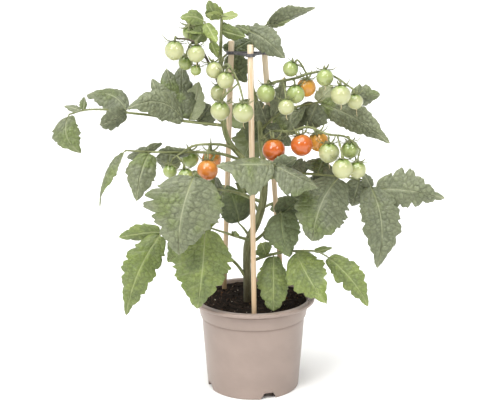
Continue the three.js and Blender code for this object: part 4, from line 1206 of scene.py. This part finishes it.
def add_fruit(form, middle, radius, up, seed):
    """A tomato: nearly round, a little flat and lobed at its shoulder, dimpled under the calyx."""
    rows, columns = TOMATO["rows"], TOMATO["columns"]
    theta = np.linspace(0, math.pi, rows + 2)[1:-1, None]
    phi, ring = circle(columns)
    reach = 1 - TOMATO["dimple"] * np.exp(-((theta / 0.3) ** 2))
    reach = reach - 0.012 * np.exp(-(((math.pi - theta) / 0.16) ** 2))
    reach = reach + TOMATO["ribs"] * np.cos(5 * phi + seed) * np.exp(-((theta / 0.75) ** 2))
    reach = reach * (1 - 0.012 * np.cos(2 * phi + 2 * seed)) * radius
    across, other = two_across(up)
    ball = (across * ring[:, :1] + other * ring[:, 1:2]) * np.sin(theta)[..., None]
    ball = ball + up * np.cos(theta)[..., None] * TOMATO["tall"]
    ends = up * radius * 0.82, -up * radius * 0.965
    points = np.vstack([(ball * reach[..., None]).reshape(-1, 3), *ends])
    kind = np.stack(np.broadcast_arrays(theta / math.pi, phi / (2 * math.pi), seed), axis=-1).reshape(-1, 3)
    kind = np.vstack([kind, (0, 0, seed), (1, 0, seed)])
    faces = grid_faces(rows, columns, closed=True, ends="points")
    form.add(points + middle, faces, place=points + seed * 31, kind=kind)


def add_sepal(form, seat, out, up, length, lift, twist, rng):
    """One sepal: a narrow hairy blade that ends in a fine point and curls up."""
    t = np.linspace(0, 1, 11)
    side = np.cross(up, out)
    rise = 0.6 - length * 0.16 * np.sin(math.pi * t * 0.7) + length * lift * t**2.4
    line = seat + out * (0.5 + length * t * (1 - 0.25 * max(lift, 0) * t))[:, None] + up * rise[:, None]
    line += side * (twist * length * t**2)[:, None]
    along = unit(np.gradient(line, axis=0))
    normal = unit(np.cross(along, side))
    across = unit(np.cross(normal, along))
    wide = (1.25 * np.sin(math.pi * (0.25 + 0.75 * t)) ** 0.8 + 0.14)[:, None]
    thick = (0.36 * (1 - t) + 0.14)[:, None]
    section = (-1, 0), (-0.5, 0.7), (0, 1), (0.5, 0.7), (1, 0), (0.5, -0.7), (0, -1), (-0.5, -0.7)
    ring = [line + across * a * wide + normal * (n + 0.5 * abs(a)) * thick for a, n in section]
    points = np.stack(ring, axis=1)
    form.add(points, grid_faces(len(t), len(section), closed=True, ends="flats"), place=points)
    add_hairs(form, line, wide[:, 0] * 0.8, *SEPAL_HAIRS, rng)


def knuckled(share):
    """A fruit's own stalk swells at its knuckle, and again where it meets the calyx."""
    knuckle = 0.55 * np.exp(-(((share - 0.42) / 0.05) ** 2))
    return PEDICEL + knuckle + 0.45 * smooth(share, 0.7, 1.0)


def add_pedicel(form, middle, radius, start, up, lift, rng):
    """A fruit's own stalk, with the knuckle where it breaks off, and its star of sepals."""
    seat = middle + up * (radius * 0.86)
    top = middle + up * (radius + GAP)
    knee = top + up * 3 * CALYX_THICK
    knee = knee + (start - knee) * 0.25
    path = [start, knee, top + up * 2 * CALYX_THICK, top + up * 0.5, seat]
    add_stalk(form, path, knuckled, "pedicel", rng)
    # the withered style still hangs from some of the fruits
    if rng.uniform() > 0.35:
        bend = unit(rng.normal(size=3)) * 1.2
        foot = middle - up * (radius * 0.95)
        style = even_line([foot, foot - up * 3, foot - up * rng.uniform(4.5, 7) + bend], 0.6)
        add_tube(form, style, np.linspace(0.42, 0.22, len(style)), 6, kind=(0, 1, 0))
    across, other = two_across(up)
    count = 6 + int(rng.uniform() > 0.5)
    for i in range(count):
        turn = 2 * math.pi * (i + rng.uniform(-0.15, 0.15)) / count
        out = across * math.cos(turn) + other * math.sin(turn)
        length = (2 + radius) * rng.uniform(1.0, 1.4)
        lifted = lift + rng.uniform(-0.12, 0.18)
        add_sepal(form, top - up * 0.7, out, up, length, lifted, rng.uniform(-0.15, 0.15), rng)


def truss_piece(name, stalk, skins):
    """A truss's stalks as one piece, and each of its tomatoes as a piece of its own."""
    path, fruits = TRUSSES[name]
    form, rng = Form(), np.random.default_rng(len(name) * 7 + len(fruits))
    points = [sighted(p) for p in path]
    flush = 0.8 if name == "truss_top" else 0.0
    add_stalk(form, points, tapering(*TRUSS), "truss", rng, ribs=0.1, kind=(flush, 0, 0))
    for i, (place, centre, diameter, ripeness) in enumerate(fruits):
        middle, radius = sighted(centre), diameter / 2 * nearness(centre[2])
        start = on_line(points, place)[0]
        up = unit(unit(start - middle) + 1.6 * UP)
        add_pedicel(form, middle, radius, start, up, SEPAL_LIFT[ripeness], rng)
        fruit = Form()
        add_fruit(fruit, middle, radius, up, 0.7 * i + len(name))
        node = f"{name.replace('truss', 'fruit')}_{i + 1}"
        slot = "fruit_" + ripeness.replace("orange", "turning")
        fruit.make(node.replace("fruit", "tomato"), [skins[ripeness]], slot, [node])
    form.make(name + "_stalks", [stalk], "stem_green", [name])


def shared_stalk():
    """The one material of all stalks, made when it is first needed."""
    found = bpy.data.materials.get("green_stalk")
    return found or new_material("green_stalk", green_stalk, "8d9268", "62673f", "4c3a3c")


def stem_piece(stalk, blade):
    form, rng = Form(), np.random.default_rng(5)
    for path, radii, woody in [(STEM_PATH, STEM, 1), *((path, ARM, 0) for path in STEM_ARMS)]:
        points = [sighted(p) for p in path]
        add_stalk(form, points, tapering(*radii), "stem", rng, slot=1, kind=(0, 0, woody), ribs=0.25)
    colour, spine, leaflets = SHOOT_TIP
    add_leaf(form, spine, leaflets, PUFFED[colour], rng)
    form.make("main_stem", [blade, stalk], "stem_green", ["stem"])


# ------------------------------------------------------------------ floor and lights

# how bright the room's walls are towards the camera and at the back
ROOM = (0.2, 0.75)
# name, kind, place, power in W (or W/m2 for the light from above), and size in m (or degrees)
LIGHTS = (
    ("ceiling_light", "SUN", (-0.35, -0.7, 2.4), 3.6, 55),
    ("soft_box_left", "AREA", (-1.0, -1.4, 1.35), 14, 0.5),
    ("soft_box_right", "AREA", (1.0, -1.4, 1.35), 9, 0.4),
)
LIT = (0, 0, 0.25)  # where they all point


def build_floor():
    """A wide, flat sheet of paper, its rings given in metres."""
    rings, segments = (60.0, 25.0, 10.0, 4.0, 1.5, 0.4), 64
    points = turned([(far, 0) for far in rings], segments).reshape(-1, 3).tolist()
    faces = grid_faces(len(rings), segments, closed=True)
    faces.append(tuple(range(len(points) - segments, len(points))))
    floor = new_object("floor", points, faces)
    floor.data.materials.append(new_material("studio_paper", studio_paper, "fafaf8"))


def build_lights(scene):
    """A white room, darker behind the camera but pale all round low down, lit widely from above.

    A weak soft box at each side leaves its highlight on each fruit.
    """
    world = bpy.data.worlds.new("white_room")
    world.use_nodes = True
    world.node_tree.nodes.clear()
    add = partial(add_node, world.node_tree)
    _, back, up = add("SeparateXYZ", (add("TexCoord", out="Generated"),)).node.outputs
    wall = add("MapRange", (back, -0.9, 0.6, *ROOM), **SMOOTHLY)
    skirting = add("MapRange", (up, 0.06, 0.15, 0.95, 0.0), **SMOOTHLY)
    level = add("Math", (wall, skirting), operation="MAXIMUM")
    add("OutputWorld", (add("Background", {"Color": (1, 1, 1, 1), "Strength": level}),), out=None)
    scene.world = world
    for name, kind, place, power, size in LIGHTS:
        lamp = bpy.data.lights.new(name, kind)
        lamp.energy = power
        if kind == "SUN":
            lamp.angle = math.radians(size)
        else:
            lamp.size = size
        holder = bpy.data.objects.new(name, lamp)
        holder.location = place
        holder.rotation_euler = (Vector(place) - Vector(LIT)).to_track_quat("Z", "Y").to_euler()
        scene.collection.objects.link(holder)


# ------------------------------------------------------------------ settings, operators and panel


class PotSettings(bpy.types.PropertyGroup):
    """The pot and its soil."""

    plastic: FloatVectorProperty(
        name="Pot plastic", description="Colour of the moulded pot", subtype="COLOR",
        size=3, min=0, max=1, default=linear("8e7e75"),
    )
    crumbs: IntProperty(
        name="Loose grains", description="How many grains lie loose on the soil",
        min=0, max=900, default=420,
    )


class PlantSettings(bpy.types.PropertyGroup):
    """The leaves, stems and fruit."""

    hair: FloatProperty(
        name="Hair length", description="Length of the fine hairs on stems, in times their usual length",
        min=0.2, max=2, default=1.0, subtype="FACTOR",
    )
    quilting: FloatProperty(
        name="Quilting", description="How strongly the leaves bulge between their veins",
        min=0, max=2, default=1.0, subtype="FACTOR",
    )


class StageSettings(bpy.types.PropertyGroup):
    """The floor, the lights and the camera."""

    distance: FloatProperty(
        name="Camera distance", description="From the camera to the plane of the stem",
        min=0.5, max=5, default=-EYE[1] * MM, unit="LENGTH",
    )
    height: FloatProperty(
        name="Camera height", description="Height of the camera above the floor",
        min=0, max=3, default=EYE[2] * MM, unit="LENGTH",
    )
    pitch: FloatProperty(
        name="Camera pitch", description="How far the camera looks down",
        min=0, max=1.5, default=math.radians(12.9), subtype="ANGLE",
    )
    lens: FloatProperty(
        name="Lens", description="Focal length on a sensor 36 mm wide", min=20, max=200, default=73.87,
    )
    aside: FloatProperty(
        name="Sideways shift", description="How far the view is shifted to frame the plant, in widths",
        min=-0.1, max=0.1, default=-0.0064,
    )


class TOMATO_OT_pot(bpy.types.Operator):
    """Build the moulded pot, with its rim, foot ring, notches and drain holes"""

    bl_idname = "tomato.pot"
    bl_label = "Pot"

    def execute(self, context):
        plastic = context.scene.tomato_pot.plastic
        pot_piece(new_material("polypropylene_moulded", moulded_polypropylene, plastic))
        return {"FINISHED"}


class TOMATO_OT_soil(bpy.types.Operator):
    """Build the potting compost and the loose grains on it"""

    bl_idname = "tomato.soil"
    bl_label = "Soil"

    def execute(self, context):
        compost = new_material("compost_sieved", potting_compost)
        soil_piece(compost)
        crumbs_piece(compost, context.scene.tomato_pot.crumbs)
        return {"FINISHED"}


class TOMATO_OT_canes(bpy.types.Operator):
    """Build the three canes and the clip that holds them"""

    bl_idname = "tomato.canes"
    bl_label = "Canes and clip"

    def execute(self, context):
        wood = new_material("softwood_dowel_raw", turned_softwood)
        for seed, name in enumerate(CANES):
            cane_piece(name, wood, seed)
        clip_piece(new_material("nylon_moulded", moulded_nylon))
        return {"FINISHED"}


class TOMATO_OT_stem(bpy.types.Operator):
    """Build the stem with its two arms and the young leaf at its tip"""

    bl_idname = "tomato.stem"
    bl_label = "Stem"

    def execute(self, context):
        stem_piece(shared_stalk(), new_material("leaf_young", leaf_blade, *LEAF_COLOURS[SHOOT_TIP[0]]))
        return {"FINISHED"}


class TOMATO_OT_leaves(bpy.types.Operator):
    """Build the compound leaves"""

    bl_idname = "tomato.leaves"
    bl_label = "Leaves"

    def execute(self, context):
        blades = {
            name: new_material("leaf_" + name, leaf_blade, *colours)
            for name, colours in LEAF_COLOURS.items()
        }
        for seed, name in enumerate(LEAVES):
            leaf_piece(name, blades, shared_stalk(), seed)
        return {"FINISHED"}


class TOMATO_OT_trusses(bpy.types.Operator):
    """Build the fruit trusses, with their stalks, sepals and tomatoes"""

    bl_idname = "tomato.trusses"
    bl_label = "Trusses and fruit"

    def execute(self, context):
        skins = {
            name: new_material("tomato_skin_" + name, tomato_skin, *look)
            for name, look in FRUIT_COLOURS.items()
        }
        for name in TRUSSES:
            truss_piece(name, shared_stalk(), skins)
        return {"FINISHED"}


class TOMATO_OT_stage(bpy.types.Operator):
    """Set the pale floor, the soft lights and the camera"""

    bl_idname = "tomato.stage"
    bl_label = "Floor, lights and camera"

    def execute(self, context):
        scene, settings = context.scene, context.scene.tomato_stage
        build_floor()
        build_lights(scene)
        camera = bpy.data.cameras.new("camera")
        camera.lens, camera.sensor_width, camera.shift_x = settings.lens, 36, settings.aside
        camera.clip_end = 100
        eye = bpy.data.objects.new("camera", camera)
        eye.location = (0, -settings.distance, settings.height)
        eye.rotation_euler = (math.pi / 2 - settings.pitch, 0, 0)
        scene.collection.objects.link(eye)
        scene.camera = eye
        scene.view_settings.view_transform = "Standard"
        return {"FINISHED"}


class TOMATO_PT_panel(bpy.types.Panel):
    """Lists what the plant is built from"""

    bl_idname = "TOMATO_PT_panel"
    bl_label = "Tomato plant"
    bl_space_type = "VIEW_3D"
    bl_region_type = "UI"
    bl_category = "Tomato plant"

    def draw(self, context):
        for name in SETTINGS:
            owner, box = getattr(context.scene, name), self.layout.box()
            for setting in owner.__annotations__:
                box.prop(owner, setting)
        for operator in OPERATORS:
            self.layout.operator(operator.bl_idname)


OPERATORS = (
    TOMATO_OT_pot, TOMATO_OT_soil, TOMATO_OT_canes, TOMATO_OT_stem,
    TOMATO_OT_leaves, TOMATO_OT_trusses, TOMATO_OT_stage,
)
SETTINGS = {"tomato_pot": PotSettings, "tomato_plant": PlantSettings, "tomato_stage": StageSettings}
CLASSES = (*SETTINGS.values(), *OPERATORS, TOMATO_PT_panel)


def register():
    for kind in CLASSES:
        bpy.utils.register_class(kind)
    for name, group in SETTINGS.items():
        setattr(bpy.types.Scene, name, PointerProperty(type=group))


def unregister():
    for name in SETTINGS:
        delattr(bpy.types.Scene, name)
    for kind in reversed(CLASSES):
        bpy.utils.unregister_class(kind)


def main():
    register()
    for name in ("pot", "soil", "canes", "stem", "leaves", "trusses", "stage"):
        getattr(bpy.ops.tomato, name)()


if __name__ == "__main__":
    main()
